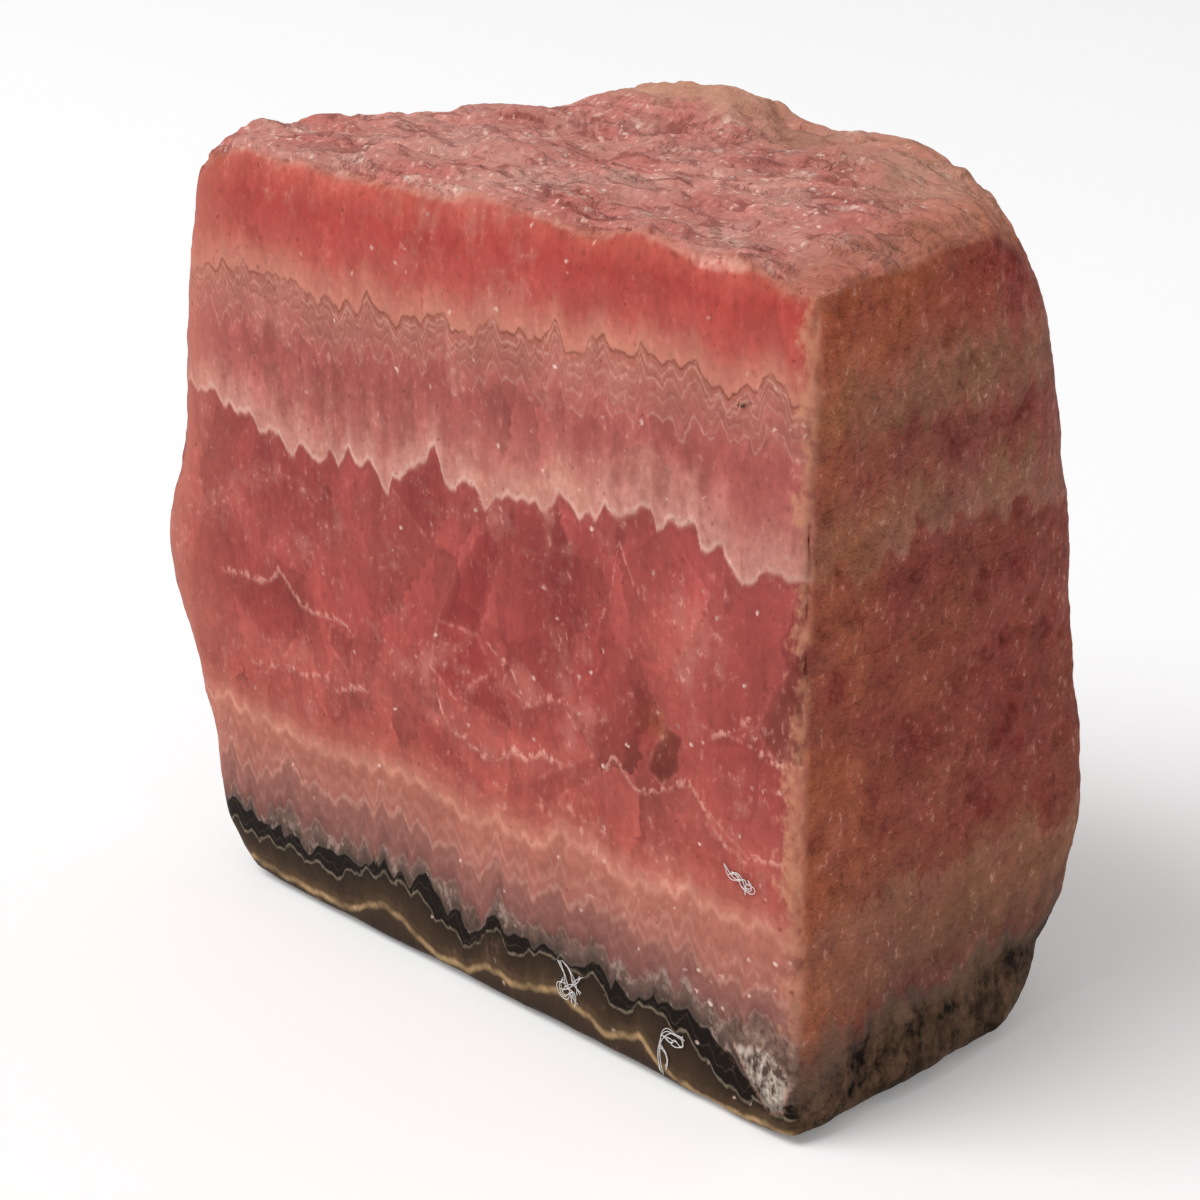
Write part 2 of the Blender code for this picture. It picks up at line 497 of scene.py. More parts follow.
@dataclass(frozen=True)
class Spot:
    """What is known of the place being coloured, all in millimetres unless it says otherwise.

    Attributes:
        x: Place along the slice.
        y: Place from front to back.
        z: Height.
        depth: How far behind the sawn face.
        lip: Nearness to the broken top's edge, 0 to 1.
        wide: The widest of the three shared fields of noise.
        mid: The middle one.
        fine: The finest one.
        streaks: Fine upright streaks, about -1 to 1.
        layer: The layer number, the place in the list of borders: 2 to 3 is the black band, 6 to 7 the red heart.
    """

    x: Wire
    y: Wire
    z: Wire
    depth: Wire
    lip: Wire
    wide: Wire
    mid: Wire
    fine: Wire
    streaks: Optional[Wire] = None
    layer: Optional[Wire] = None

    @property
    def clouds(self) -> tuple[Wire, Wire, Wire]:
        """The three fields of noise, the widest first."""
        return self.wide, self.mid, self.fine

    def known(self) -> dict[str, Wire]:
        """The wires that are there, by name."""
        return {name: wire for name, wire in vars(self).items() if wire is not None}


@dataclass(frozen=True)
class Crystal:
    """A large crystal seen in the sawn face, as its outline there.

    Attributes:
        corners: The outline, counter-clockwise, as x and z.
        tint: Colour that the crystal pulls towards.
        strength: How strongly.
        rim: How clearly its pale edge shows.
        fade: How far in from its edge it reaches its full colour, in millimetres.
        zone: The part of the sawn face that it is in.
    """

    corners: tuple[Point, ...]
    tint: Colour
    strength: float
    rim: float = 0.0
    fade: float = 1.6
    zone: Zone = Zone.HEART


@dataclass(frozen=True)
class Seam:
    """A thin pale growth seam in the sawn face, as x and z from left to right.

    Attributes:
        path: The points of the seam.
        share: How clearly it shows.
        shade: How much darker the stone is just under it.
        half: Half its thickness in millimetres.
    """

    path: tuple[Point, ...]
    share: float = 0.55
    shade: float = 0.16
    half: float = 0.14


@dataclass(frozen=True)
class Hairline:
    """A thin line that follows the borders.

    Attributes:
        low: The border that it follows.
        lift: Its height above that border in millimetres.
        half: Half its thickness in millimetres.
        tint: Its colour.
        share: How clearly it shows.
        teeth: How jagged it is beyond its border, in millimetres.
        high: The border above, if the line runs between two.
        place: Its place between them, 0 to 1.
    """

    low: Border
    lift: float
    half: float
    tint: Colour
    share: float
    teeth: float = 0.0
    high: Optional[Border] = None
    place: float = 0.0


@dataclass(frozen=True)
class LayerDrawing:
    """The borders of the layers as they run across the sawn face, as x and z in millimetres."""

    low_x: float = -34.0
    span_x: float = 67.0
    low_z: float = -2.0
    span_z: float = 66.0
    borders: dict[Border, tuple[Point, ...]] = field(
        default_factory=lambda: {
            Border.TAN: (
                (-34, 1.6), (-25, 1.8), (-18.8, 1.4), (-15.9, 1.4), (-11.6, 1.5), (-9.6, 2.5), (-8, 3.2),
                (-5.7, 2.9), (-4, 2.0), (-1.4, 1.2), (1.6, 1.4), (3.2, 2.4), (6.2, 2.0), (8.5, 2.7),
                (10.5, 3.2), (13.7, 2.5), (15.4, 1.7), (17, 2.4), (19, 2.9), (20.3, 1.7), (22, 1.0),
                (24.3, 0.7), (28, 0.8), (33, 1.0),
            ),
            Border.GREY: (
                (-34, 3.8), (-25.1, 3.8), (-22.8, 3.7), (-20.5, 3.7), (-18.8, 3.9), (-16.8, 3.7),
                (-15.2, 3.9), (-13.2, 3.5), (-11.6, 4.5), (-9.6, 5.3), (-7.6, 5.6), (-4.7, 5.4),
                (-3.7, 5.5), (-2, 4.5), (-0.7, 3.8), (1.6, 3.3), (2.9, 4.3), (4.2, 5.2), (6.2, 4.3),
                (7.8, 5.2), (9.5, 5.8), (10.5, 5.6), (12.5, 5.5), (14.7, 5.6), (15.7, 4.5), (17.4, 4.2),
                (18.7, 5.2), (20, 5.6), (21.6, 4.8), (22.6, 4.7), (23.9, 4.2), (24.9, 3.5), (26.6, 2.5),
                (28.9, 2.1), (33, 2.0),
            ),
            Border.BLACK: (
                (-34, 5.6), (-23.1, 5.6), (-20.6, 4.7), (-19.6, 5.8), (-19.1, 4.7), (-17.5, 5.2),
                (-16.2, 4.3), (-14.5, 5.5), (-12.2, 5.6), (-10.3, 5.5), (-9, 5.8), (-8.6, 7.3),
                (-8.1, 6.1), (-7.3, 6.8), (-6.3, 5.8), (-5.5, 6.5), (-4.7, 5.6), (-4, 6.6), (-2.7, 7.5),
                (-1.4, 6.1), (-0.6, 4.7), (0.8, 5.7), (1.9, 4.3), (3.2, 5.5), (4.2, 6.5), (5.5, 5.5),
                (6.5, 6.1), (7.8, 6.1), (8.2, 5.5), (9.5, 6.6), (10.8, 5.8), (12.1, 5.7), (13.1, 6.1),
                (14.9, 6.8), (16, 5.5), (16.4, 6.5), (17.7, 5.3), (19.6, 6.0), (19.9, 6.8), (20.3, 6.1),
                (22.3, 6.5), (24.3, 6.1), (25.9, 5.5), (27.9, 4.3), (29.2, 2.9), (30.5, 1.6), (33, 4.5),
            ),
            Border.TEETH: (
                (-34, 6.0), (-26, 5.8), (-23.4, 6.8), (-21.4, 5.5), (-19.8, 7.5), (-18.5, 7.3),
                (-16.8, 6.5), (-15.5, 7.5), (-12.9, 6.5), (-10.3, 7.5), (-8.6, 7.1), (-7, 7.8),
                (-6, 7.1), (-5, 7.8), (-2.7, 8.3), (-0.7, 7.1), (0.6, 7.5), (2.2, 6.8), (3.5, 5.8),
                (4.9, 7.8), (6.5, 7.6), (7.5, 7.1), (8.8, 8.0), (10.8, 7.1), (12.4, 8.1), (13.6, 7.8),
                (15.1, 8.3), (16, 7.5), (17, 8.1), (18.2, 6.9), (20.7, 8.5), (22, 8.0), (23.9, 8.3),
                (26.6, 7.5), (29.2, 8.4), (33, 7.6),
            ),
            Border.MAUVE: (
                (-34, 9.5), (-25, 9.6), (-21.1, 9.1), (-19.1, 10.9), (-15.9, 10.4), (-12.9, 9.9),
                (-10.3, 10.7), (-7, 11.1), (-3.7, 11.1), (-1, 10.1), (1.6, 10.4), (3.4, 9.4),
                (4.5, 10.3), (5.5, 9.9), (6.5, 10.8), (8.8, 9.9), (10, 11.1), (11.8, 10.1),
                (13.1, 11.1), (14.4, 10.7), (17.4, 11.6), (18.8, 10.2), (20, 11.1), (22.6, 11.3),
                (25.3, 10.1), (27.2, 10.4), (29.2, 10.1), (33, 10.5),
            ),
            Border.PEACH: (
                (-34, 15.2), (-25.7, 15.6), (-19.1, 15.2), (-14.2, 14.8), (-11.6, 15.2), (-8.6, 15.6),
                (-3.7, 16.0), (-0.4, 15.2), (2.9, 14.9), (5.5, 15.2), (9.5, 15.4), (10.8, 16.5),
                (12.4, 16.7), (14.4, 16.3), (17.7, 15.5), (19.3, 15.8), (22.6, 16.4), (29.2, 16.2),
                (33, 15.6),
            ),
            Border.WHITE: (
                (-34, 38.0), (-28, 38.9), (-25, 38.5), (-21.4, 38.0), (-20.3, 37.8), (-20, 37.0),
                (-18.8, 37.4), (-18.1, 36.7), (-17.6, 37.3), (-17.1, 36.6), (-16.2, 36.2),
                (-15.3, 37.0), (-14.3, 36.7), (-13.3, 36.1), (-12.2, 37.5), (-11, 36.4), (-10, 38.2),
                (-9.3, 37.1), (-8, 37.5), (-7, 37.0), (-5.8, 35.4), (-5.2, 36.8), (-3.2, 38.0),
                (-1.8, 39.2), (-0.7, 40.2), (0.1, 37.5), (0.6, 37.3), (1.9, 38.5), (3.2, 38.5),
                (4.0, 36.5), (4.9, 37.2), (6.2, 38.5), (7.8, 38.3), (8.8, 38.9), (9.6, 38.2),
                (11.1, 39.0), (12.1, 39.6), (13.1, 38.5), (13.7, 39.1), (14.4, 38.3), (15.4, 39.9),
                (16.7, 39.6), (19.5, 40.9), (19.8, 39.4), (21.3, 40.3), (23.3, 40.4), (23.9, 39.1),
                (25.6, 39.8), (27.2, 37.6), (28.9, 38.8), (30.9, 38.9), (33, 39.4),
            ),
            Border.FRINGE: (
                (-34, 45.0), (-19.1, 45.1), (-14.5, 45.2), (-12, 45.0), (-11.2, 44.2), (-10.2, 45.2),
                (-6, 45.6), (-2.7, 45.9), (1.6, 46.2), (4.2, 45.2), (5.5, 46.5), (7.2, 46.6),
                (9, 46.2), (11.4, 46.3), (13.1, 45.8), (15.1, 47.0), (18, 46.6), (20, 47.2),
                (22, 46.2), (25, 47.4), (28, 47.0), (33, 46.5),
            ),
            Border.CORAL: (
                (-34, 48.5), (-25.4, 47.9), (-23.4, 48.9), (-19.1, 49.1), (-18.5, 48.5), (-16.2, 49.4),
                (-15.2, 48.7), (-12.6, 48.2), (-10.3, 48.2), (-8.3, 48.4), (-7.3, 49.4), (-5, 48.0),
                (-2.7, 48.8), (0, 49.1), (2.9, 48.9), (4.5, 49.5), (7.2, 49.7), (9.8, 49.9),
                (11.1, 50.4), (12.1, 49.4), (13.6, 49.8), (15.2, 50.9), (17.4, 50.3), (19.3, 50.9),
                (20.7, 50.3), (22.6, 50.8), (25.6, 49.5), (27.9, 50.5), (29.2, 51.0), (30.9, 49.8),
                (33, 50.2),
            ),
        }
    )
    crystals: tuple[Crystal, ...] = (
        Crystal(((-20.4, 31.5), (-16.0, 28.6), (-12.0, 31.0), (-11.0, 35.0), (-12.6, 40.0), (-20.2, 40.0)),
                paint(138, 54, 54), 0.5, 0.0, 3.5),
        Crystal(((-1.6, 33.2), (0.9, 36.2), (-0.4, 41.0), (-5.6, 36.4)), paint(132, 52, 52), 0.7, 0.25, 1.4),
        Crystal(((-0.8, 27.6), (3.5, 27.8), (5.6, 34.0), (5.0, 36.4), (3.6, 35.0), (1.0, 31.6)),
                paint(130, 44, 46), 0.8, 0.12, 0.9),
        Crystal(((-1.9, 24.0), (0.8, 22.2), (4.6, 25.4), (3.2, 27.6), (-0.8, 27.6)),
                paint(136, 46, 46), 0.7, 0.35, 1.2),
        Crystal(((0.9, 22.6), (6.4, 21.6), (6.6, 22.6), (4.8, 25.6)), paint(134, 46, 46), 0.75, 0.3, 0.8),
        Crystal(((5.4, 28.0), (9.5, 24.9), (14.5, 26.5), (16.4, 31.0), (14.6, 38.0), (8.0, 38.6), (4.6, 35.0)),
                paint(124, 44, 46), 0.62, 0.0, 4.2),
        Crystal(((16.8, 33.8), (19.4, 26.0), (25.0, 25.0), (26.5, 31.0), (24.0, 35.4)),
                paint(178, 94, 81), 0.4, 0.0, 3.0),
        Crystal(((1.0, 22.0), (5.0, 20.6), (11.0, 21.4), (12.6, 24.6), (7.0, 24.0), (3.0, 25.0)),
                paint(130, 54, 50), 0.5, 0.0, 1.2),
        Crystal(((-24.6, 23.6), (-20.4, 20.6), (-15.4, 22.0), (-15.6, 24.2), (-18.6, 26.6)),
                paint(144, 54, 53), 0.55, 0.12, 1.2),
        Crystal(((-12.9, 22.4), (-10.6, 20.8), (-10.1, 23.6), (-12.6, 24.0)), paint(138, 56, 52), 0.65, 0.2, 0.5),
        Crystal(((-5.0, 20.6), (-2.0, 17.0), (4.0, 15.6), (9.0, 16.4), (4.6, 18.6), (-0.4, 19.6), (-3.0, 21.6)),
                paint(136, 52, 50), 0.6, 0.0, 1.1),
        Crystal(((7.6, 18.0), (10.0, 17.2), (16.4, 22.2), (15.0, 22.6)), paint(140, 62, 56), 0.55, 0.15, 0.5),
        Crystal(((5.6, 24.6), (8.6, 24.0), (10.2, 25.2), (7.0, 27.2)), paint(196, 122, 108), 0.45, 0.4, 0.9),
        Crystal(((24.0, 27.4), (24.4, 21.8), (28.4, 19.4), (33.0, 20.6), (33.0, 27.0)),
                paint(148, 66, 62), 0.5, 0.45, 1.6),
        Crystal(((28.4, 28.4), (30.6, 26.6), (34.0, 27.6), (34.0, 35.4), (31.6, 34.4)),
                paint(106, 54, 46), 0.75, 0.3, 0.9),
        Crystal(((19.3, 22.9), (20.6, 22.2), (21.9, 23.4), (22.3, 26.0), (20.0, 26.3)),
                paint(104, 48, 38), 0.9, 0.25, 0.45),
        # A pit and a notch at the left edge, painted dark as the shade in them.
        Crystal(((26.6, 48.9), (27.2, 48.8), (27.9, 49.4), (27.4, 49.6)),
                paint(40, 22, 18), 0.9, 0.0, 0.15, Zone.HEAD),
        Crystal(((-27.8, 46.2), (-27.0, 46.4), (-26.9, 47.2), (-27.7, 47.4)),
                paint(90, 50, 42), 0.8, 0.0, 0.2, Zone.HEAD),
        Crystal(((25.2, 8.4), (27.4, 5.4), (29.4, 2.6), (31.2, 2.0), (34.0, 4.0), (34.0, 9.0)),
                paint(150, 124, 106), 0.6, 0.0, 2.6, Zone.FOOT),
        Crystal(((27.2, 5.8), (29.0, 3.4), (30.4, 2.0), (31.6, 2.4), (32.2, 5.0), (30.4, 6.6)),
                paint(226, 214, 198), 0.8, 0.3, 1.2, Zone.FOOT),
        Crystal(((20.6, 57.4), (23.4, 56.6), (26.6, 56.9), (28.4, 58.4), (28.0, 61.0), (20.0, 61.0)),
                paint(236, 188, 170), 0.7, 0.0, 1.3, Zone.HEAD),
        Crystal(((-12.0, 57.6), (-6.0, 56.6), (-1.0, 58.0), (-1.0, 62.0), (-12.0, 62.0)),
                paint(212, 146, 128), 0.55, 0.0, 1.6, Zone.HEAD),
    )
    seams: tuple[Seam, ...] = (
        Seam(((-22.4, 18.5), (-19.8, 18.6), (-17.6, 19.4), (-15.4, 18.9), (-13.6, 19.7), (-12.0, 19.0),
              (-10.2, 19.4), (-8.2, 20.1)), 0.5, 0.14),
        Seam(((-25.4, 24.8), (-22.6, 25.3), (-20.5, 25.1), (-18.2, 26.7), (-16.4, 25.0), (-14.6, 24.3),
              (-11.2, 24.6), (-9.8, 23.8)), 0.5, 0.14),
        Seam(((-1.9, 24.4), (-1.4, 22.7), (-0.4, 20.3), (0.4, 19.7), (1.3, 19.8), (2.4, 19.1), (3.4, 18.9),
              (4.8, 19.2), (6.4, 20.0), (7.9, 19.9), (9.6, 20.8), (11.4, 20.4)), 0.75, 0.12, 0.17),
        Seam(((3.9, 27.4), (5.2, 26.8), (6.5, 26.2), (7.4, 24.6), (8.1, 24.0), (9.7, 24.9), (12.0, 25.1),
              (14.5, 24.8), (16.0, 25.6)), 0.6, 0.2, 0.12),
        Seam(((14.8, 20.6), (16.4, 22.6), (18.4, 21.0), (19.4, 21.2), (21.6, 22.4), (23.2, 22.9), (24.6, 21.4),
              (26.0, 19.8), (28.0, 19.2), (30.6, 19.9), (33.0, 19.4)), 0.55, 0.12, 0.15),
        Seam(((24.6, 26.6), (26.2, 27.4), (28.0, 29.0), (28.6, 27.0), (30.4, 26.6), (33.0, 27.0)), 0.6, 0.12),
        Seam(((14.6, 30.0), (16.0, 34.6), (16.8, 37.8), (18.0, 35.2), (19.6, 34.2)), 0.35, 0.1),
        Seam(((8.8, 17.0), (10.4, 16.6), (11.8, 17.6), (13.0, 16.8), (14.8, 17.0)), 0.7, 0.0, 0.25),
    )
    hairlines: tuple[Hairline, ...] = (
        Hairline(Border.TAN, -0.1, 0.3, paint(190, 156, 112), 0.8, 0.1),
        Hairline(Border.TAN, 0.45, 0.4, paint(104, 80, 56), 0.4, 0.3),
        Hairline(Border.GREY, 0.0, 0.14, paint(130, 116, 98), 0.8, 0.3),
        Hairline(Border.GREY, 0.0, 0.09, paint(88, 76, 62), 0.35, 0.9, Border.BLACK, 0.5),
        Hairline(Border.BLACK, 0.16, 0.16, paint(120, 104, 94), 0.4),
        Hairline(Border.TEETH, -0.1, 0.18, paint(168, 138, 126), 0.4, 0.5),
        Hairline(Border.TEETH, 0.2, 0.16, paint(116, 76, 70), 0.4, 0.5),
        Hairline(Border.TEETH, 0.0, 0.34, paint(176, 126, 116), 0.3, 1.0, Border.MAUVE, 0.5),
        Hairline(Border.MAUVE, 0.0, 0.32, paint(204, 154, 138), 0.42, 0.5),
        Hairline(Border.MAUVE, -0.35, 0.25, paint(140, 82, 76), 0.35, 0.5),
        Hairline(Border.MAUVE, 0.0, 0.32, paint(204, 150, 130), 0.34, 1.0, Border.PEACH, 0.25),
        Hairline(Border.MAUVE, 0.0, 0.34, paint(150, 88, 74), 0.36, 0.7, Border.PEACH, 0.42),
        Hairline(Border.PEACH, -1.35, 0.32, paint(216, 152, 130), 0.6, 0.4),
        Hairline(Border.PEACH, -2.1, 0.2, paint(150, 88, 74), 0.3, 0.4),
        Hairline(Border.WHITE, 0.22, 0.26, paint(222, 178, 164), 0.55),
        Hairline(Border.WHITE, -0.22, 0.2, paint(128, 52, 50), 0.35),
        Hairline(Border.FRINGE, 0.0, 0.14, paint(202, 148, 134), 0.5, 1.4),
        Hairline(Border.FRINGE, 0.55, 0.12, paint(140, 78, 70), 0.3, 1.2),
        Hairline(Border.FRINGE, 0.0, 0.13, paint(196, 142, 126), 0.45, 1.2, Border.CORAL, 0.36),
        Hairline(Border.FRINGE, 0.0, 0.1, paint(136, 74, 64), 0.4, 1.2, Border.CORAL, 0.44),
        Hairline(Border.FRINGE, 0.0, 0.12, paint(202, 150, 132), 0.5, 1.0, Border.CORAL, 0.64),
        Hairline(Border.FRINGE, 0.0, 0.1, paint(134, 74, 62), 0.4, 1.0, Border.CORAL, 0.72),
        Hairline(Border.CORAL, -0.6, 0.14, paint(210, 158, 138), 0.5, 0.8),
        Hairline(Border.CORAL, 0.02, 0.12, paint(116, 60, 48), 0.7, 0.3),
        Hairline(Border.CORAL, 0.5, 0.4, paint(206, 136, 116), 0.35, 0.3),
    )

    def crystals_in(self, zone: Zone) -> list[Crystal]:
        """The crystals of one part of the sawn face."""
        return [crystal for crystal in self.crystals if crystal.zone is zone]

    def hairlines_in(self, zone: Zone) -> list[Hairline]:
        """The hairlines of one part of the sawn face."""
        near = {Zone.FOOT: tuple(Border)[:6], Zone.HEART: (Border.WHITE,), Zone.HEAD: tuple(Border)[6:]}
        return [line for line in self.hairlines if line.low in near[zone]]

    def height(self, sheet: NodeSheet, across: Wire, line: Sequence[Point]) -> Wire:
        """Height of a drawn line.

        Args:
            sheet: The material's tree.
            across: The place along the slice as a share of the drawing's width.
            line: The line's points.

        Returns:
            The height in millimetres.
        """
        points = [((x - self.low_x) / self.span_x, (z - self.low_z) / self.span_z) for x, z in line]
        if points[0][0] > 0:
            points.insert(0, (0.0, points[0][1]))
        if points[-1][0] < 1:
            points.append((1.0, points[-1][1]))
        return sheet.add("ShaderNodeFloatCurve", {"points": points}, {"Value": across}) * self.span_z + self.low_z


def blank_material(name: str) -> tuple[bpy.types.Material, NodeSheet]:
    """Makes a material without nodes.

    Args:
        name: The material's name.

    Returns:
        The material and the sheet to draw it on.
    """
    material = bpy.data.materials.new(name)
    material.use_nodes = True
    material.node_tree.nodes.clear()
    return material, NodeSheet(material.node_tree)


TOOTH_SHARE = {
    Border.TAN: 0.15, Border.GREY: 0.6, Border.BLACK: 0.7, Border.TEETH: 1.2, Border.MAUVE: 1.2,
    Border.PEACH: 0.6, Border.WHITE: 0.8, Border.FRINGE: 1.1, Border.CORAL: 0.9,
}


class Tint:
    """Colours that the stone has besides those of its layers, and the painted glints, glow and shade laid over them.
    """

    CRYSTAL_EDGE = paint(222, 156, 140)
    SEAM = paint(226, 162, 146)
    ROSE_WHITE = paint(208, 148, 138)
    CREAM_WHITE = paint(206, 156, 130)
    VEIL = paint(206, 136, 122)
    # Painted glint and painted shade of fine relief on the sawn face, as pale and dark flecks.
    PALE_FLECK = paint(226, 166, 150)
    DARK_FLECK = paint(116, 52, 48)
    # Pale and dark patches of the grey crystal teeth, painted as lit and shaded facets.
    PALE_FACET = paint(176, 152, 142)
    DARK_FACET = paint(62, 46, 40)
    # Painted light: the thin left edge drawn lighter, as if lit through and reflecting the lamp.
    THIN_EDGE = paint(204, 128, 108)
    CHIPPED_EDGE = paint(216, 150, 134)
    CORNER_STAIN = paint(192, 132, 104)
    IRON_BROWN = paint(148, 84, 60)
    IRON_OLIVE = paint(146, 112, 78)
    IRON_ORANGE = paint(192, 108, 72)
    PLUM = paint(130, 74, 64)
    DEEP_RED = paint(136, 44, 42)
    WORN_PINK = paint(204, 136, 114)
    # The side glint below is a painted highlight; the pit and gap colours after it are painted shade.
    WORN_GLINT = paint(232, 182, 162)
    WORN_PIT = paint(80, 38, 32)
    DUSTY_RIND = paint(126, 95, 74)
    WORN_GAP = paint(92, 42, 36)
    WORN_EDGE = paint(204, 140, 114)
    MAUVE_FLAKE = paint(194, 116, 106)
    PINK_FLAKE = paint(206, 148, 136)
    # The glinting flake and the flake glint are painted highlights; the flake gap and pit colours are painted shade.
    BRIGHT_FLAKE = paint(236, 196, 182)
    FLAKE_GAP = paint(124, 64, 58)
    FLAKE_GLINT = paint(244, 212, 200)
    FLAKE_PIT = paint(120, 62, 56)
    TAN_CROWN = paint(196, 146, 116)
    RUST = paint(124, 76, 52)
    SHOULDER = paint(176, 104, 80)
    HUMP = paint(192, 136, 110)
    PALE_HUMP = paint(212, 160, 136)
    # Painted glint of the sawn faces.
    GLINT = paint(240, 204, 192)
    SPECK = paint(100, 48, 42)


def surface(sheet: NodeSheet, colour: Wire, roughness: float, normal: Wire) -> Wire:
    """One kind of the stone's surface as a shader."""
    feeds = {
        "Base Color": colour, "Roughness": roughness, "Normal": normal,
        "Specular IOR Level": STONE_GLOSS, "IOR": STONE_REFRACTION,
    }
    return sheet.add("ShaderNodeBsdfPrincipled", None, feeds, out="BSDF")


def bump(sheet: NodeSheet, height: Wire, normal: Optional[Wire] = None) -> Wire:
    """A shading normal from a height in millimetres."""
    feeds = {"Strength": 1.0, "Distance": 1.0, "Height": height * MM, "Normal": normal}
    return sheet.add("ShaderNodeBump", None, feeds, out="Normal")


@dataclass(frozen=True)
class Growth:
    """How the stone grew: the borders between its layers, their crystal tips and their plain colours, with painted
    shadow under the tan rind.
    """

    drawing: LayerDrawing = LayerDrawing()
    crown_z: float = 62.6
    sole_z: float = -2.0
    tooth: float = 2.3
    small_tooth: float = 1.25
    thinnest_layer: float = 0.12
    heart_from: float = HEART_FROM
    cloud_widths: tuple[float, float, float] = (6.0, 2.3, 0.5)
    # From the sole up to the tan line, layer 0 to 1, the stops are painted shadow: the underside in shade below the
    # rind.
    low_stops: tuple[tuple[float, Colour], ...] = (
        (0.0, paint(50, 37, 29)), (0.7, paint(58, 43, 33)), (1.0, paint(74, 56, 41)),
        (1.04, paint(72, 54, 38)), (1.5, paint(62, 46, 33)), (1.97, paint(44, 32, 22)),
        (2.03, paint(24, 15, 8)), (2.97, paint(22, 14, 8)), (3.03, paint(62, 48, 41)),
        (3.3, paint(92, 72, 64)), (3.6, paint(112, 88, 79)), (3.97, paint(118, 86, 77)), (4.03, paint(128, 84, 76)),
        (4.6, paint(140, 90, 81)), (4.97, paint(156, 100, 89)), (5.03, paint(166, 104, 91)),
        (5.35, paint(173, 106, 91)), (5.6, paint(180, 111, 95)), (5.8, paint(192, 121, 103)),
        (5.97, paint(184, 106, 92)), (6.0, paint(178, 96, 83)),
    )
    high_stops: tuple[tuple[float, Colour], ...] = (
        (6.0, paint(178, 96, 83)), (6.08, paint(166, 80, 71)), (6.2, paint(170, 86, 77)),
        (6.35, paint(165, 77, 70)), (6.5, paint(164, 74, 69)), (6.68, paint(166, 78, 72)),
        (6.85, paint(160, 74, 69)), (6.985, paint(158, 74, 70)), (7.01, paint(190, 122, 110)),
        (7.25, paint(182, 108, 98)), (7.5, paint(172, 96, 88)), (7.78, paint(163, 85, 79)),
        (7.985, paint(168, 92, 84)), (8.01, paint(174, 100, 90)), (8.3, paint(172, 100, 90)),
        (8.6, paint(174, 104, 92)), (8.985, paint(172, 102, 88)), (9.015, paint(194, 122, 104)),
        (9.11, paint(190, 110, 95)), (9.2, paint(181, 86, 77)), (9.4, paint(174, 70, 64)),
        (9.58, paint(188, 90, 79)), (9.72, paint(204, 120, 106)), (10.0, paint(216, 152, 136)),
    )

    def place(self, sheet: NodeSheet, front_y: float) -> tuple[Spot, Wire, dict[str, Wire]]:
        """Works out all that the finishes need to know of the place being coloured.

        Args:
            sheet: The material's tree.
            front_y: The plane of the sawn face.

        Returns:
            The spot, the crystal tips and the height of each border by its name.
        """
        x, y, z = sheet.parts(sheet.here())
        depth = y - front_y
        away = depth.rise(0.6, 5.0)
        at = Spot(x, y, z, depth, sheet.attribute("lip"), *sheet.section("clouds", self._clouds))
        teeth = sheet.section("crystal_tips", self._teeth, at, run=x - depth, away=away)
        heights = sheet.section("borders", self._borders, at, away=away, teeth=teeth)
        levels = {border.name: height for border, height in zip(self.drawing.borders, heights)}
        layer = sheet.section("layer_number", self._layer, z=z, **levels)
        at = replace(at, streaks=sheet.section("streaks", self._streaks), layer=layer)
        return at, teeth, levels

    def _clouds(self, sheet: NodeSheet) -> tuple[Wire, Wire, Wire]:
        """Makes the three fields of noise of falling size that every step shares.

        Args:
            sheet: The material's tree.

        Returns:
            The fields, each about -1 to 1.
        """
        spot = sheet.here()
        wide, mid, fine = self.cloud_widths
        return (
            sheet.cloud(spot, wide, 4.0, 0.66),
            sheet.cloud(sheet.moved(spot, (31.0, 7.0, 12.0)), mid, 4.0, 0.64),
            sheet.cloud(sheet.stretched(spot, (1, 1, 0.66)), fine, 2.0, 0.6),
        )

    def _teeth(self, sheet: NodeSheet, at: Spot, run: Wire, away: Wire) -> Wire:
        """Sharp crystal tips along the borders, in lively and calm stretches.

        Args:
            sheet: The material's tree.
            at: The spot.
            run: How far along the border this place is.
            away: 0 on the sawn face, 1 well behind it.

        Returns:
            The height of the tips in millimetres, around 0.
        """
        wide, mid, fine = at.clouds
        bent = run + mid * 0.5 + fine * 0.1
        tips = sheet.spikes(bent, self.tooth) * (away * 0.7 + 0.55)
        tips = tips + sheet.spikes(bent + 31.0, self.small_tooth) * 0.75
        return tips * (wide.rise(-0.8, 0.6) * 0.8 + 0.35)

    def _borders(self, sheet: NodeSheet, at: Spot, away: Wire, teeth: Wire) -> tuple[Wire, ...]:
        """Heights of all borders at this spot.

        Args:
            sheet: The material's tree.
            at: The spot.
            away: 0 on the sawn face, 1 well behind it.
            teeth: Crystal tips.

        Returns:
            The height of each border, in the order of growth.
        """
        wide, mid, fine = at.clouds
        plan = self.drawing
        sway = wide * away * 1.1
        ripple = (mid * 0.6 + fine * 0.4) * (0.16 + away * 0.4)
        bent = at.x + mid * 0.3
        folded = (bent - plan.low_x - at.depth).math("PINGPONG", plan.span_x - 1.0) / plan.span_x
        heights: list[Wire] = []
        for border, line in plan.borders.items():
            height = plan.height(sheet, folded, line) + sway + ripple + teeth * TOOTH_SHARE[border]
            if heights:
                height = height.highest(heights[-1] + self.thinnest_layer)
            heights.append(height)
        return tuple(heights)

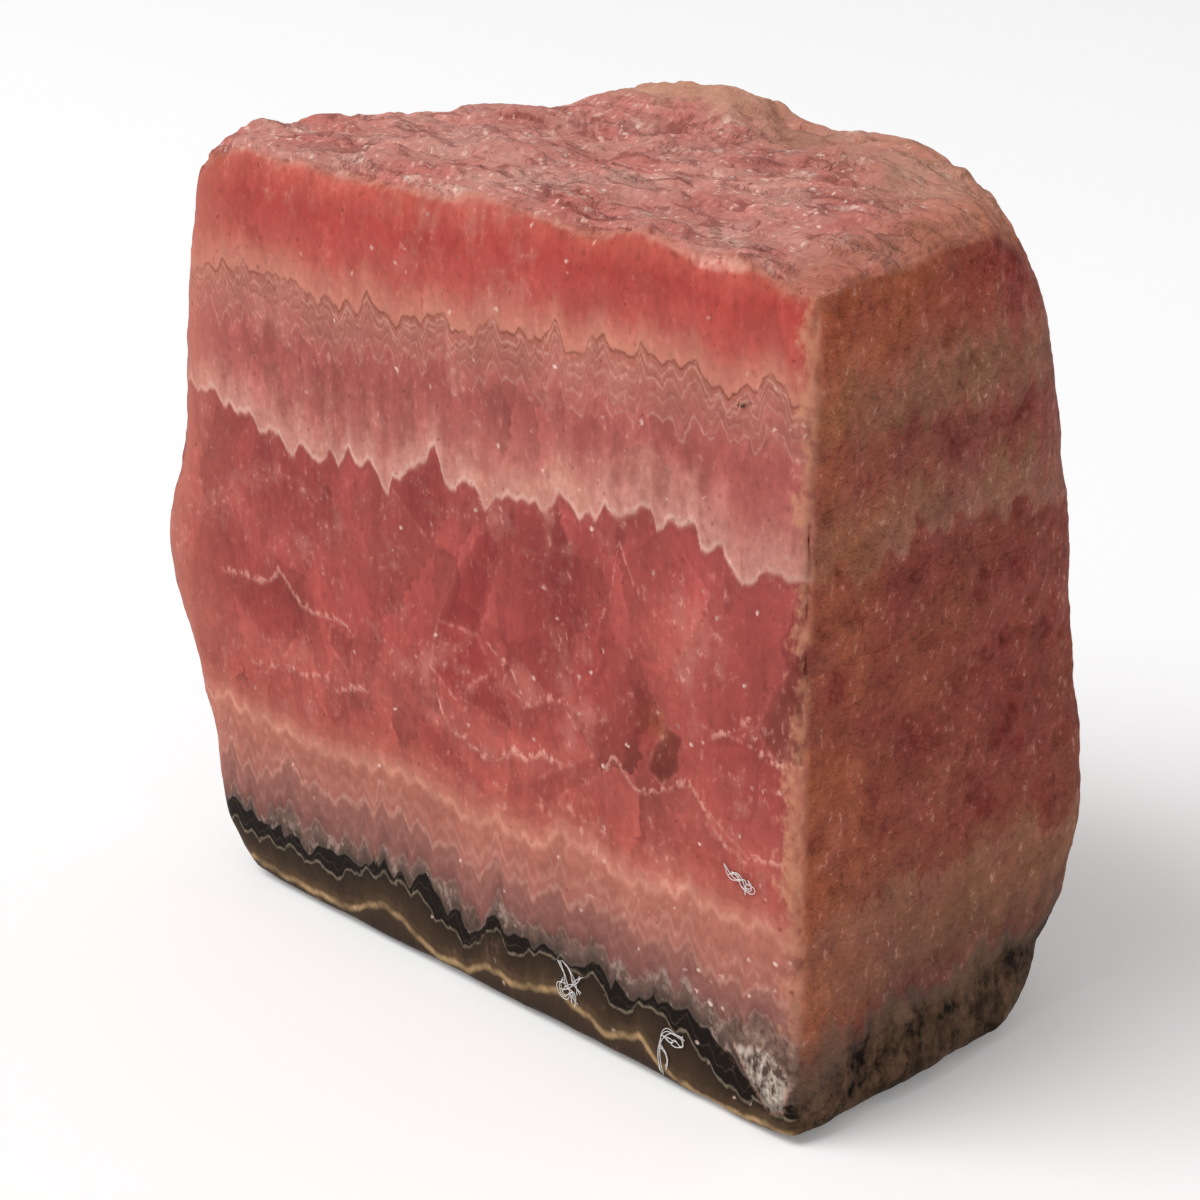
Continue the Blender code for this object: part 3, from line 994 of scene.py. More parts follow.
    def _layer(self, _sheet: NodeSheet, z: Wire, **borders: Wire) -> Wire:
        """The layer number: n to n + 1 from the n-th border to the next.

        Args:
            _sheet: The material's tree, which a step always takes; not used.
            z: Height.
            borders: Height of each border here, from the lowest up.

        Returns:
            The number.
        """
        levels: list[Feed] = [self.sole_z, *borders.values(), self.crown_z]
        layer = z.share(levels[0], levels[1])
        for low, high in zip(levels[1:], levels[2:]):
            layer = layer + z.share(low, high)
        return layer

    @staticmethod
    def _streaks(sheet: NodeSheet) -> Wire:
        """Fine upright growth streaks, about -1 to 1."""
        return sheet.cloud(sheet.stretched(sheet.here(), (1, 1, 0.2)), 1.4, 4.0, 0.62) * 0.9

    def colour(self, sheet: NodeSheet, at: Spot) -> Wire:
        """The plain colour of a layer, its inner borders drawn out by the streaks.

        Args:
            sheet: The material's tree.
            at: The spot.

        Returns:
            The colour.
        """
        inside = at.layer.math("FRACT")
        swing = inside * (1 - inside) * 4
        drawn = at.layer + at.streaks * swing * 0.08
        low = self._ramp(sheet, drawn, self.low_stops)
        high = self._ramp(sheet, drawn, self.high_stops)
        return sheet.blend(at.layer.share(self.heart_from - 0.001, self.heart_from + 0.001), low, high)

    @staticmethod
    def _ramp(sheet: NodeSheet, value: Wire, stops: Sequence[tuple[float, Colour]]) -> Wire:
        """A colour ramp whose stops are given in layer numbers.

        Args:
            sheet: The material's tree.
            value: The layer number.
            stops: Each stop's layer number and colour, in order.

        Returns:
            The colour.
        """
        low, high = stops[0][0], stops[-1][0]
        scaled = [((at - low) / (high - low), colour) for at, colour in stops]
        return sheet.add("ShaderNodeValToRGB", {"stops": scaled}, {"Fac": value.share(low, high)}, out="Color")


@dataclass(frozen=True)
class SawnFace:
    """The flat sawn faces: crystals, seams, hairlines, clouds, specks, and painted glints and shade, clear and fresh.
    """

    drawing: LayerDrawing = LayerDrawing()
    side_x: float = 32.66
    heart_from: float = HEART_FROM
    head_from: float = 7.0
    grain: float = 0.024
    roughness: float = 0.48

    def shader(self, sheet: NodeSheet, at: Spot, plain: Wire, teeth: Wire, levels: dict[str, Wire]) -> Wire:
        """The sawn face, each zone with its own crystals and hairlines.

        Args:
            sheet: The material's tree.
            at: The spot.
            plain: The plain colour of the layer.
            teeth: Crystal tips.
            levels: Height of each border here, by the border's name.

        Returns:
            The shader.
        """
        front = at.depth.fall(0.5, 1.6)
        red = at.layer.between(6.0, 6.08, 6.95, 7.0)
        grown = sheet.section("grown_crystals", self._grown_crystals, at, colour=plain, red=red)
        marks = sheet.section("saw_marks", self._saw_marks)
        face: Optional[Wire] = None
        for zone, start in ((Zone.FOOT, 0.0), (Zone.HEART, self.heart_from), (Zone.HEAD, self.head_from)):
            crystals = partial(self._seen_crystals, crystals=self.drawing.crystals_in(zone))
            where = front * red if zone is Zone.HEART else front
            fresh = sheet.section(f"{zone.value}_crystals", crystals, at, colour=grown, where=where)
            if zone is Zone.HEART:
                fresh = sheet.section("seams", self._seams, at, colour=fresh, where=where)
            if zone is Zone.HEAD:
                above = at.z - levels[Border.WHITE.name]
                fresh = sheet.section("white_teeth", self._white_teeth, at, above=above, colour=fresh)
            lines = partial(self._hairlines, lines=self.drawing.hairlines_in(zone))
            fresh = sheet.section(f"{zone.value}_hairlines", lines, at, teeth=teeth, colour=fresh, **levels)
            fresh = sheet.section("mottling", self._mottled, at, colour=fresh)
            fresh = sheet.section("rims", self._rims, at, colour=fresh)
            fresh = sheet.section("sawn_specks", self._sawn_specks, at, colour=fresh)
            part = surface(sheet, fresh, self.roughness, marks)
            face = sheet.mixed(at.layer.math("GREATER_THAN", start), face, part) if face else part
        return face

    @staticmethod
    def _grown_crystals(sheet: NodeSheet, at: Spot, colour: Wire, red: Wire) -> Wire:
        """Leaning crystals in two sizes, each with its own tone, slope of shade and grain direction.

        Args:
            sheet: The material's tree.
            at: The spot.
            colour: The colour so far.
            red: 1 in the deep red layer.

        Returns:
            The colour with crystals.
        """
        wide, mid, fine = at.clouds
        spot = sheet.here()
        crumpled = sheet.place(mid * 0.24, wide * 0.22, wide * 0.14 - mid * 0.1)
        turn = {"Vector": spot, "Rotation": (0.25, math.radians(-16), 0.3)}
        turned = sheet.add("ShaderNodeMapping", None, turn)
        large = sheet.cells(sheet.moved(sheet.stretched(turned, (1 / 4.6, 1 / 4.6, 1 / 9.5)), crumpled), 1.0)
        tone, spin, keep = large.dice
        across, _, along = sheet.parts(large.inner)
        slope = (across * (spin - 0.5) + along * (keep - 0.5)) * 0.8
        turn = {"Vector": spot, "Angle": (spin - 0.5) * 1.8}
        fibres = sheet.add("ShaderNodeVectorRotate", {"rotation_type": "Y_AXIS"}, turn)
        grain = sheet.cloud(sheet.stretched(fibres, (1, 1, 0.14)), 0.8, 3.0, 0.66) * 0.12
        small = sheet.cells(sheet.moved(sheet.stretched(spot, (0.56, 0.56, 0.2)), sheet.scaled(crumpled, 1.5)), 1.0)
        chip, lean, _ = small.dice
        across, _, along = sheet.parts(small.inner)
        edge = across * (lean - 0.5) + along * (chip - 0.5)
        colour = sheet.lit(colour, ((tone - 0.5) * 0.18 + slope + grain + edge * 0.36) * red + 1)
        pale = at.layer.between(7.05, 7.4, 8.0, 8.15) + at.layer.rise(9.1, 9.3) * 0.45
        return sheet.lit(colour, ((chip - 0.5) * 0.26 + across * (lean - 0.5) * 0.4 + fine * 0.04) * pale + 1)

    @staticmethod
    def _seen_crystals(
        sheet: NodeSheet, crystals: Sequence[Crystal], at: Spot, colour: Wire, where: Wire
    ) -> Wire:
        """The large crystals and pits that the saw laid open in front; the pits are painted dark as the shade in them.

        Args:
            sheet: The material's tree.
            at: The spot.
            crystals: The crystals to draw.
            colour: The colour so far.
            where: 1 where they may show.

        Returns:
            The colour with the crystals.
        """
        wide, mid, fine = at.clouds
        wobble = mid * 0.75 + fine * 0.3
        here = sheet.place(at.x + wobble * 0.45, at.z - wobble * 0.3, 1.0)
        broken = (fine * 0.7 + wide * 0.4).rise(-0.3, 0.5)
        ragged = at.streaks * 0.22 + 0.9
        frosted = at.streaks * 0.4 + mid * 1.2 + fine * 1.3 + 0.45
        for crystal in crystals:
            inside: Optional[Wire] = None
            for (ax, az), (bx, bz) in zip(crystal.corners, crystal.corners[1:] + crystal.corners[:1]):
                length = math.hypot(bx - ax, bz - az)
                nx, nz = (az - bz) / length, (bx - ax) / length
                reach = sheet.along(here, (nx, nz, -(nx * ax + nz * az)))
                inside = reach if inside is None else inside.lowest(reach)
            body = inside.rise(-0.12, 0.2) * 0.45 + inside.rise(-0.1, crystal.fade) * 0.55
            body = body * (ragged if crystal.zone is Zone.HEART else frosted)
            colour = sheet.blend(body * where * crystal.strength, colour, crystal.tint)
            if crystal.rim:
                edge = abs(inside).fall(0.02, 0.24) * broken * where * crystal.rim
                colour = sheet.blend(edge, colour, Tint.CRYSTAL_EDGE)
        return colour

    def _seams(self, sheet: NodeSheet, at: Spot, colour: Wire, where: Wire) -> Wire:
        """Pale, flecked growth seams of the deep red layer, with a darker side below.

        Args:
            sheet: The material's tree.
            at: The spot.
            colour: The colour so far.
            where: 1 where seams may show.

        Returns:
            The colour with seams.
        """
        wide, mid, fine = at.clouds
        plan = self.drawing
        jog = mid * 0.55 + fine * 0.36
        across = (at.x + jog * 0.8 - plan.low_x) / plan.span_x
        worn = (fine * 1.3 - wide * 0.5 + mid * 0.4).rise(-0.35, 0.45) * where
        dark: Optional[Wire] = None
        light: Optional[Wire] = None
        for seam in plan.seams:
            first, last = seam.path[0][0], seam.path[-1][0]
            inside = at.x.between(first - 0.2, first + 0.8, last - 0.8, last + 0.2)
            under = plan.height(sheet, across, seam.path) + jog - at.z
            shade = under.rise(-0.05, 0.1) * (1 - under.share(0.1, 2.6)) * inside * seam.shade
            line = abs(under).fall(seam.half * 0.3, seam.half * 2.8) * inside * seam.share
            dark = shade if dark is None else dark.highest(shade)
            light = line if light is None else light.highest(line)
        return sheet.blend(light * worn, sheet.lit(colour, 1 - dark * where), Tint.SEAM)

    @staticmethod
    def _white_teeth(sheet: NodeSheet, at: Spot, above: Wire, colour: Wire) -> Wire:
        """The whitish foot of the mauve layer, drawn up in uneven flames.

        Args:
            sheet: The material's tree.
            at: The spot.
            above: Height above the foot of the white teeth.
            colour: The colour so far.

        Returns:
            The colour with the white.
        """
        wide, mid, fine = at.clouds
        inside = at.layer.between(7.0, 7.03, 7.7, 8.0)
        reach = at.x.share(10.0, 24.0) * 1.5 + 1.8 + wide * 1.8 + at.streaks * 0.7 + mid * 1.3
        share = above.fall(reach * 0.1, reach * 1.9) * (mid * 0.5 + fine * 0.3 + 0.66)
        white = sheet.blend((wide - mid * 0.5).rise(-0.5, 0.6), Tint.ROSE_WHITE, Tint.CREAM_WHITE)
        return sheet.blend(share * inside * 0.7, colour, white)

    @staticmethod
    def _hairlines(
        sheet: NodeSheet, lines: Sequence[Hairline], at: Spot, teeth: Wire, colour: Wire, **borders: Wire
    ) -> Wire:
        """The hairlines along and between the borders.

        Args:
            sheet: The material's tree.
            at: The spot.
            lines: The hairlines to draw.
            teeth: Crystal tips.
            colour: The colour so far.
            borders: Height of each border here, by the border's name.

        Returns:
            The colour with hairlines.
        """
        wide, mid, fine = at.clouds
        starts = (mid, wide * 0.8 - mid * 0.5, fine * 0.6 - wide * 0.5)
        faint = [start.rise(-0.8, 0.4) for start in starts]
        for index, line in enumerate(lines):
            level = borders[line.low.name]
            if line.high:
                level = level + (borders[line.high.name] - level) * line.place
            level = level + line.lift
            if line.teeth:
                level = level + teeth * line.teeth + starts[(index + 1) % 3] * 0.14
            mask = abs(at.z - level).share(line.half * 0.3, line.half * 1.35, line.share, 0.0)
            colour = sheet.blend(mask * faint[index % 3], colour, line.tint)
        return colour

    @staticmethod
    def _mottled(sheet: NodeSheet, at: Spot, colour: Wire) -> Wire:
        """Clouds, streaks and light veils inside the layers, with painted glints and shade of fine relief as pale and
        dark flecks, and painted facet light and shade in the grey teeth.

        Args:
            sheet: The material's tree.
            at: The spot.
            colour: The colour so far.

        Returns:
            The livelier colour.
        """
        wide, mid, fine = at.clouds
        mauve = at.layer.between(7.0, 7.3, 7.9, 8.05)
        stone = at.layer.rise(4.0, 5.5)
        coral = at.layer.rise(9.1, 9.3)
        drawn = at.streaks * (0.1 + mauve * 0.12 - coral * 0.06)
        colour = sheet.lit(colour, wide * 0.14 + mid * 0.22 + fine * 0.13 + drawn + 0.97)
        veil = wide * 0.7 - mid * 0.8 + at.streaks * 0.4
        colour = sheet.blend(veil.rise(0.0, 0.8) * 0.45 * stone, colour, Tint.VEIL)
        # Painted glints as pale flecks, and painted shade of fine relief as dark flecks.
        light = fine.rise(0.2, 0.5) * (veil * 0.8 + 0.2).rise(-0.1, 0.8) * stone * (1 - coral * 0.4)
        colour = sheet.blend(light * 0.5, colour, Tint.PALE_FLECK)
        dark = fine.fall(-0.52, -0.26) * (mid - wide * 0.4).rise(-0.2, 0.5) * stone
        colour = sheet.blend(dark * 0.42, colour, Tint.DARK_FLECK)
        # Painted light and shade of facets in the grey crystal teeth.
        fringe = at.layer.between(3.0, 3.08, 3.9, 4.3)
        facets = mid * 0.8 + fine * 0.5 - wide * 0.3
        colour = sheet.blend(fringe * facets.rise(0.1, 0.45) * 0.5, colour, Tint.PALE_FACET)
        return sheet.blend(fringe * (0 - facets).rise(0.1, 0.5) * 0.6, colour, Tint.DARK_FACET)

    def _rims(self, sheet: NodeSheet, at: Spot, colour: Wire) -> Wire:
        """Painted light at the thin left edge, as if lit through and reflecting the lamp, chipped light along the
        broken top and iron stain along the right corner.

        Args:
            sheet: The material's tree.
            at: The spot.
            colour: The colour so far.

        Returns:
            The colour with the rims.
        """
        wide, mid, fine = at.clouds
        stone = at.layer.rise(3.6, 4.6)
        # Painted light at the thin left edge, as if lit through and reflecting the lamp.
        lean = at.x - (at.z - 25).share(0.0, 35.0) * 5.0 + wide * 1.6
        thin = lean.fall(-34.0, -24.0) * stone * 0.5
        colour = sheet.blend(thin, colour, Tint.THIN_EDGE)
        chipped = (at.lip + mid * 0.16 + wide * 0.14 + fine * 0.06).rise(0.06, 0.3) * (fine * 0.6 + 0.75)
        colour = sheet.blend(chipped * 0.8, colour, Tint.CHIPPED_EDGE)
        ragged = mid * 0.9 + fine * 0.5 + wide * 0.5
        strip = (at.x + ragged * 1.6).rise(self.side_x - 1.8, self.side_x - 0.7) * (fine * 0.5 + mid * 0.4 + 0.6)
        return sheet.blend(strip * stone, colour, Tint.CORNER_STAIN)

    @staticmethod
    def _sawn_specks(sheet: NodeSheet, at: Spot, colour: Wire) -> Wire:
        """Small painted glints of cleavage, bright flecks in the colour, and a few dark specks of the sawn faces.

        Args:
            sheet: The material's tree.
            at: The spot.
            colour: The colour so far.

        Returns:
            The specked colour.
        """
        wide, mid, fine = at.clouds
        crowd = wide * 0.12 + at.x.share(-20.0, 30.0, -0.12, 0.04)
        bent = sheet.moved(sheet.here(), sheet.place(mid * 0.4 + fine * 0.2, fine * 0.1, fine * 0.16 - mid * 0.3))
        grains = sheet.cells(bent, 1.1)
        glint, pit, _ = grains.dice
        # Painted glints: small bright flecks of cleavage laid into the colour.
        bright = (glint + crowd).rise(0.8, 0.88) * grains.distance.fall(0.06, 0.22) * fine.rise(-0.6, 0.3)
        colour = sheet.blend(bright * 0.85, colour, Tint.GLINT)
        dark = pit.fall(0.05, 0.09) * grains.distance.fall(0.08, 0.2) * at.layer.rise(4.0, 5.0)
        return sheet.blend(dark * 0.55, colour, Tint.SPECK)

    def _saw_marks(self, sheet: NodeSheet) -> Wire:
        """The faint grain that the saw left."""
        return bump(sheet, sheet.cloud(sheet.here(), 0.7, 2.0, 0.7) * self.grain)


@dataclass(frozen=True)
class JointFace:
    """The old joint faces at the sides and the back: weathered, stained by iron and rough, with painted glints and
    painted shade.
    """

    grain: float = 0.34
    roughness: float = 0.6

    def shader(self, sheet: NodeSheet, at: Spot, plain: Wire) -> Wire:
        """The weathered faces.

        Args:
            sheet: The material's tree.
            at: The spot.
            plain: The plain colour of the layer.

        Returns:
            The shader.
        """
        stained = sheet.section("weathering", self._weathered, at, colour=plain)
        return surface(sheet, stained, self.roughness, sheet.section("joint_relief", self._joint_relief))

    @staticmethod
    def _weathered(sheet: NodeSheet, at: Spot, colour: Wire) -> Wire:
        """Blotchy brown and olive iron stain of the joint faces at the sides, with painted shade as dark gaps and pits
        and painted glints as bright flecks.

        Args:
            sheet: The material's tree.
            at: The spot.
            colour: The plain colour of the layer.

        Returns:
            The stained colour.
        """
        wide, mid, fine = at.clouds
        spot = sheet.here()
        upper = at.layer.between(7.9, 8.3, 8.9, 9.15)
        middle = at.layer.between(6.9, 7.1, 7.3, 7.7)
        pale = upper + middle + at.layer.between(4.0, 4.6, 5.8, 6.2)
        stone = at.layer.rise(3.2, 4.2)
        much = at.x.share(-20.0, 28.0, 0.5, 1.0) * stone
        blots = sheet.cloud(sheet.moved(spot, (9.0, 14.0, 3.0)), 3.4, 4.0, 0.7)
        tint = sheet.blend(pale * 0.7 + blots * 0.5, Tint.IRON_BROWN, Tint.IRON_OLIVE)
        colour = sheet.blend((wide * 0.45 + 0.36 + pale * 0.2) * much, colour, tint)
        near = (1 - at.depth.share(1.0, 13.0)) * (1 - at.z.share(6.0, 34.0) * 0.3) + at.z.rise(50.0, 58.0) * 0.5
        orange = (wide * 0.6 + near).rise(0.1, 1.1) * much * 0.7
        colour = sheet.blend(orange, colour, Tint.IRON_ORANGE)
        plum = (blots - wide * 0.7).rise(0.0, 0.8) * much
        colour = sheet.blend(plum * 0.6, colour, Tint.PLUM)
        deep = (0 - blots - wide * 0.3).rise(0.1, 0.6) * stone * (1 - pale)
        colour = sheet.blend(deep * 0.65, colour, Tint.DEEP_RED)
        crowd = (blots * 0.7 + mid * 0.6).rise(-0.4, 0.7)
        # The 0.86 darkens the joint faces as a whole, partly for their stain, partly as painted shade of sides the
        # lamp lights less.
        colour = sheet.lit(colour, mid * 0.27 + blots * 0.3 + fine * 0.15 + at.streaks * 0.07 + 0.86)
        colour = sheet.blend(mid.rise(0.22, 0.7) * crowd * 0.45, colour, Tint.WORN_PINK)
        # Painted glints as bright flecks.
        colour = sheet.blend(fine.rise(0.28, 0.5) * crowd * stone * 0.55, colour, Tint.WORN_GLINT)
        # Painted shade in small pits.
        dark = fine.fall(-0.56, -0.32) * (0.85 - crowd * 0.5) * stone
        colour = sheet.blend(dark * 0.5, colour, Tint.WORN_PIT)
        dusty = (1 - stone) * (blots * 0.7 + mid * 0.8 + fine * 0.4 + at.z.share(1.0, 6.0, 0.2, 0.5))
        colour = sheet.blend(dusty, colour, Tint.DUSTY_RIND)
        # Painted shade in gaps.
        gap = mid.fall(-0.7, -0.4) * stone
        colour = sheet.blend(gap * 0.6, colour, Tint.WORN_GAP)
        chipped = (at.lip + mid * 0.2 + fine * 0.1).rise(0.1, 0.6) * (fine * 0.5 + 0.6)
        return sheet.blend(chipped * 0.5, colour, Tint.WORN_EDGE)

    def _joint_relief(self, sheet: NodeSheet) -> Wire:
        """The small steps and grain of the weathered joint faces."""
        return bump(sheet, sheet.cloud(sheet.here(), 1.7, 4.0, 0.68) * self.grain)


@dataclass(frozen=True)
class BrokenCrown:
    """The broken top: mauve and pink flakes with painted glints and shade."""

    grain: float = 0.12
    roughness: float = 0.55

    def shader(self, sheet: NodeSheet, at: Spot) -> Wire:
        """The broken top.

        Args:
            sheet: The material's tree.
            at: The spot.

        Returns:
            The shader.
        """
        broken, tilted = sheet.section("broken_crown", self._flakes, at)
        return surface(sheet, broken, self.roughness, sheet.section("flake_relief", self._flake_relief, tilted=tilted))

    @staticmethod
    def _flakes(sheet: NodeSheet, at: Spot) -> tuple[Wire, Wire]:
        """Mauve and pink flakes of the broken top, with painted glints on flakes and painted shade in the gaps and
        small pits between them.

        Args:
            sheet: The material's tree.
            at: The spot.

        Returns:
            The colour with the flakes and the way each flake faces.
        """
        wide, mid, fine = at.clouds
        spot = sheet.here()
        bent = sheet.moved(spot, sheet.place(mid * 1.1, wide * 0.9 + mid * 0.4, fine * 0.3 - wide * 0.5))
        flake = sheet.cells(sheet.stretched(bent, (0.34, 1, 0.8)), 1.1)
        tone, spin, keep = flake.dice
        base = sheet.blend(wide.rise(-0.5, 0.5), Tint.MAUVE_FLAKE, Tint.PINK_FLAKE)
        base = sheet.lit(base, (tone - 0.5) * 0.28 + fine * 0.2 + mid * 0.14 + 1.02)
        # Painted glints on some flakes.
        bright = spin.rise(0.66, 0.82) * flake.distance.fall(0.2, 0.6) * (fine * 1.2 + mid * 0.9 + 0.3)
        base = sheet.blend(bright, base, Tint.BRIGHT_FLAKE)
        # Painted shade in the gaps between flakes.
        gap = flake.distance.rise(0.54, 0.74) * keep.rise(0.3, 0.6)
        base = sheet.blend(gap * 0.55, base, Tint.FLAKE_GAP)
        # Painted glints as fine bright flecks.
        base = sheet.blend(fine.rise(0.24, 0.5) * (mid + 0.4).rise(-0.1, 0.8) * 0.8, base, Tint.FLAKE_GLINT)
        # Painted shade in small pits.
        base = sheet.blend(fine.fall(-0.6, -0.34) * 0.45, base, Tint.FLAKE_PIT)
        back = at.x * 0.55 + at.y * 1.1
        tan = (back + wide * 9.0).rise(6.0, 26.0)
        base = sheet.blend(tan * 0.55, base, Tint.TAN_CROWN)
        rust = (back + fine * 3.0).rise(9.0, 13.0) * (back - fine * 3.0).fall(14.0, 19.0) * wide.rise(-0.3, 0.5)
        base = sheet.blend(rust * 0.5, base, Tint.RUST)
        shoulder = (at.x + wide * 2.0 + mid).rise(25.0, 31.0)
        base = sheet.blend(shoulder * 0.6, base, Tint.SHOULDER)
        hump = (at.y + wide * 1.6 + fine * 0.5).rise(4.5, 7.5) * at.x.fall(4.0, 11.0)
        smooth = sheet.blend(mid.rise(-0.8, 0.8), Tint.HUMP, Tint.PALE_HUMP)
        base = sheet.blend(hump * 0.9, base, sheet.lit(smooth, fine * 0.08 + 1))
        lean = sheet.scaled(sheet.place(tone - 0.5, spin - 0.5, keep - 0.5), 1 - hump * 0.8)
        faced = sheet.moved(sheet.add("ShaderNodeNewGeometry", out="Normal"), sheet.scaled(lean, 0.8))
        return base, sheet.add("ShaderNodeVectorMath", {"operation": "NORMALIZE"}, {0: faced})

    def _flake_relief(self, sheet: NodeSheet, tilted: Wire) -> Wire:
        """The small steps and grain of the broken top."""
        return bump(sheet, sheet.cloud(sheet.here(), 0.8, 3.0, 0.66) * self.grain, tilted)


@dataclass(frozen=True)
class StoneFinish:
    """How the stone looks: one growth seen on sawn, weathered and broken faces."""

    name: str = "banded_rhodochrosite"
    front_y: float = SAWN_Y
    growth: Growth = Growth()
    sawn: SawnFace = SawnFace()
    joint: JointFace = JointFace()
    crown: BrokenCrown = BrokenCrown()

    def material(self) -> bpy.types.Material:
        """Makes the stone's material.

        Returns:
            The material, ready to be set on a piece.
        """
        material, sheet = blank_material(self.name)
        at, teeth, levels = self.growth.place(sheet, self.front_y)
        plain = sheet.section("layer_colours", self.growth.colour, at)
        cut_face = self.sawn.shader(sheet, at, plain, teeth, levels)
        joint_face = self.joint.shader(sheet, at, plain)
        top = self.crown.shader(sheet, at)
        body = sheet.mixed(sheet.attribute("sawn"), joint_face, cut_face)
        whole = sheet.mixed(sheet.attribute("crown"), body, top)
        sheet.end("ShaderNodeOutputMaterial", "Surface", whole)
        return material


@dataclass(frozen=True)
class LintFinish:
    """Loose white cotton fibre that has settled on the stone."""

    name: str = "white_lint"
    colour: Colour = paint(238, 236, 234)
    shade: Colour = paint(214, 208, 204)
    roughness: float = 0.8
    sheen: float = 0.3

    def material(self) -> bpy.types.Material:
        """Makes the fibre's material.

        Returns:
            The material.
        """
        material, sheet = blank_material(self.name)
        fuzz = sheet.cloud(sheet.here(), 0.4).rise(-1.0, 1.0)
        colour = sheet.blend(fuzz, self.shade, self.colour)
        feeds = {"Base Color": colour, "Roughness": self.roughness, "Sheen Weight": self.sheen}
        shader = sheet.add("ShaderNodeBsdfPrincipled", None, feeds, out="BSDF")
        sheet.end("ShaderNodeOutputMaterial", "Surface", shader)
        return material


@dataclass(frozen=True)
class FloorFinish:
    """Plain near-white studio paper, lit a little from behind."""

    name: str = "studio_paper"
    colour: Colour = (0.95, 0.95, 0.95)
    glow: float = 0.15
    roughness: float = 0.9
    gloss: float = 0.1

    def material(self) -> bpy.types.Material:
        """Makes the paper's material.

        Returns:
            The material.
        """
        material, sheet = blank_material(self.name)
        feeds = {
            "Base Color": self.colour, "Roughness": self.roughness, "Specular IOR Level": self.gloss,
            "Emission Color": (1.0, 1.0, 1.0), "Emission Strength": self.glow,
        }
        shader = sheet.add("ShaderNodeBsdfPrincipled", None, feeds, out="BSDF")
        sheet.end("ShaderNodeOutputMaterial", "Surface", shader)
        return material


@dataclass(frozen=True)
class Shaper:
    """A Geometry Nodes tree that turns raw data into a finished piece.

    Attributes:
        sheet: The tree, to draw on.
        takes: The tree's inputs by name.
    """

    sheet: NodeSheet
    takes: dict[str, Wire]

    @classmethod
    def named(cls, name: str, sizes: Sequence[str]) -> "Shaper":
        """Starts a tree.

        Args:
            name: The tree's name.
            sizes: The names of its number inputs.

        Returns:
            The shaper.
        """
        tree = bpy.data.node_groups.new(name, "GeometryNodeTree")
        tree.interface.new_socket("Geometry", in_out="OUTPUT", socket_type="NodeSocketGeometry")
        tree.interface.new_socket("Geometry", in_out="INPUT", socket_type="NodeSocketGeometry")
        for size in sizes:
            tree.interface.new_socket(size, in_out="INPUT", socket_type="NodeSocketFloat")
        sheet = NodeSheet(tree)
        given = tree.nodes.new("NodeGroupInput")
        return cls(sheet, {socket.name: Wire(sheet, socket) for socket in given.outputs if socket.name})

    def close(self, geometry: Wire, material: bpy.types.Material) -> None:
        """Ends the tree with its instances made real and its material set.

        Args:
            geometry: The finished shape.
            material: What it is made of.
        """
        real = self.sheet.add("GeometryNodeRealizeInstances", None, {"Geometry": geometry})
        dressed = self.sheet.add("GeometryNodeSetMaterial", None, {"Geometry": real, "Material": material})
        self.sheet.end("NodeGroupOutput", "Geometry", dressed)

    def piece(
        self, name: str, raw: bpy.types.ID, sizes: dict[str, float], material: bpy.types.Material
    ) -> bpy.types.Object:
        """Runs the tree once over raw data and makes a piece with the plain mesh that comes out.

        Args:
            name: The piece's name.
            raw: The mesh or curve to start from.
            sizes: Values of the tree's inputs by name.
            material: What the piece is made of.

        Returns:
            The piece.
        """
        worker = bpy.data.objects.new(name, raw)
        bpy.context.scene.collection.objects.link(worker)
        modifier = worker.modifiers.new("shaper", "NODES")
        modifier.node_group = self.sheet.tree
        for item in self.sheet.tree.interface.items_tree:
            if item.item_type == "SOCKET" and item.in_out == "INPUT" and item.name in sizes:
                modifier[item.identifier] = sizes[item.name]
        depsgraph = bpy.context.evaluated_depsgraph_get()
        shaped = worker.evaluated_get(depsgraph)
        mesh = bpy.data.meshes.new_from_object(shaped, preserve_all_data_layers=True, depsgraph=depsgraph)
        bpy.data.objects.remove(worker)
        mesh.materials.clear()
        mesh.materials.append(material)
        piece = bpy.data.objects.new(name, mesh)
        bpy.context.scene.collection.objects.link(piece)
        return piece


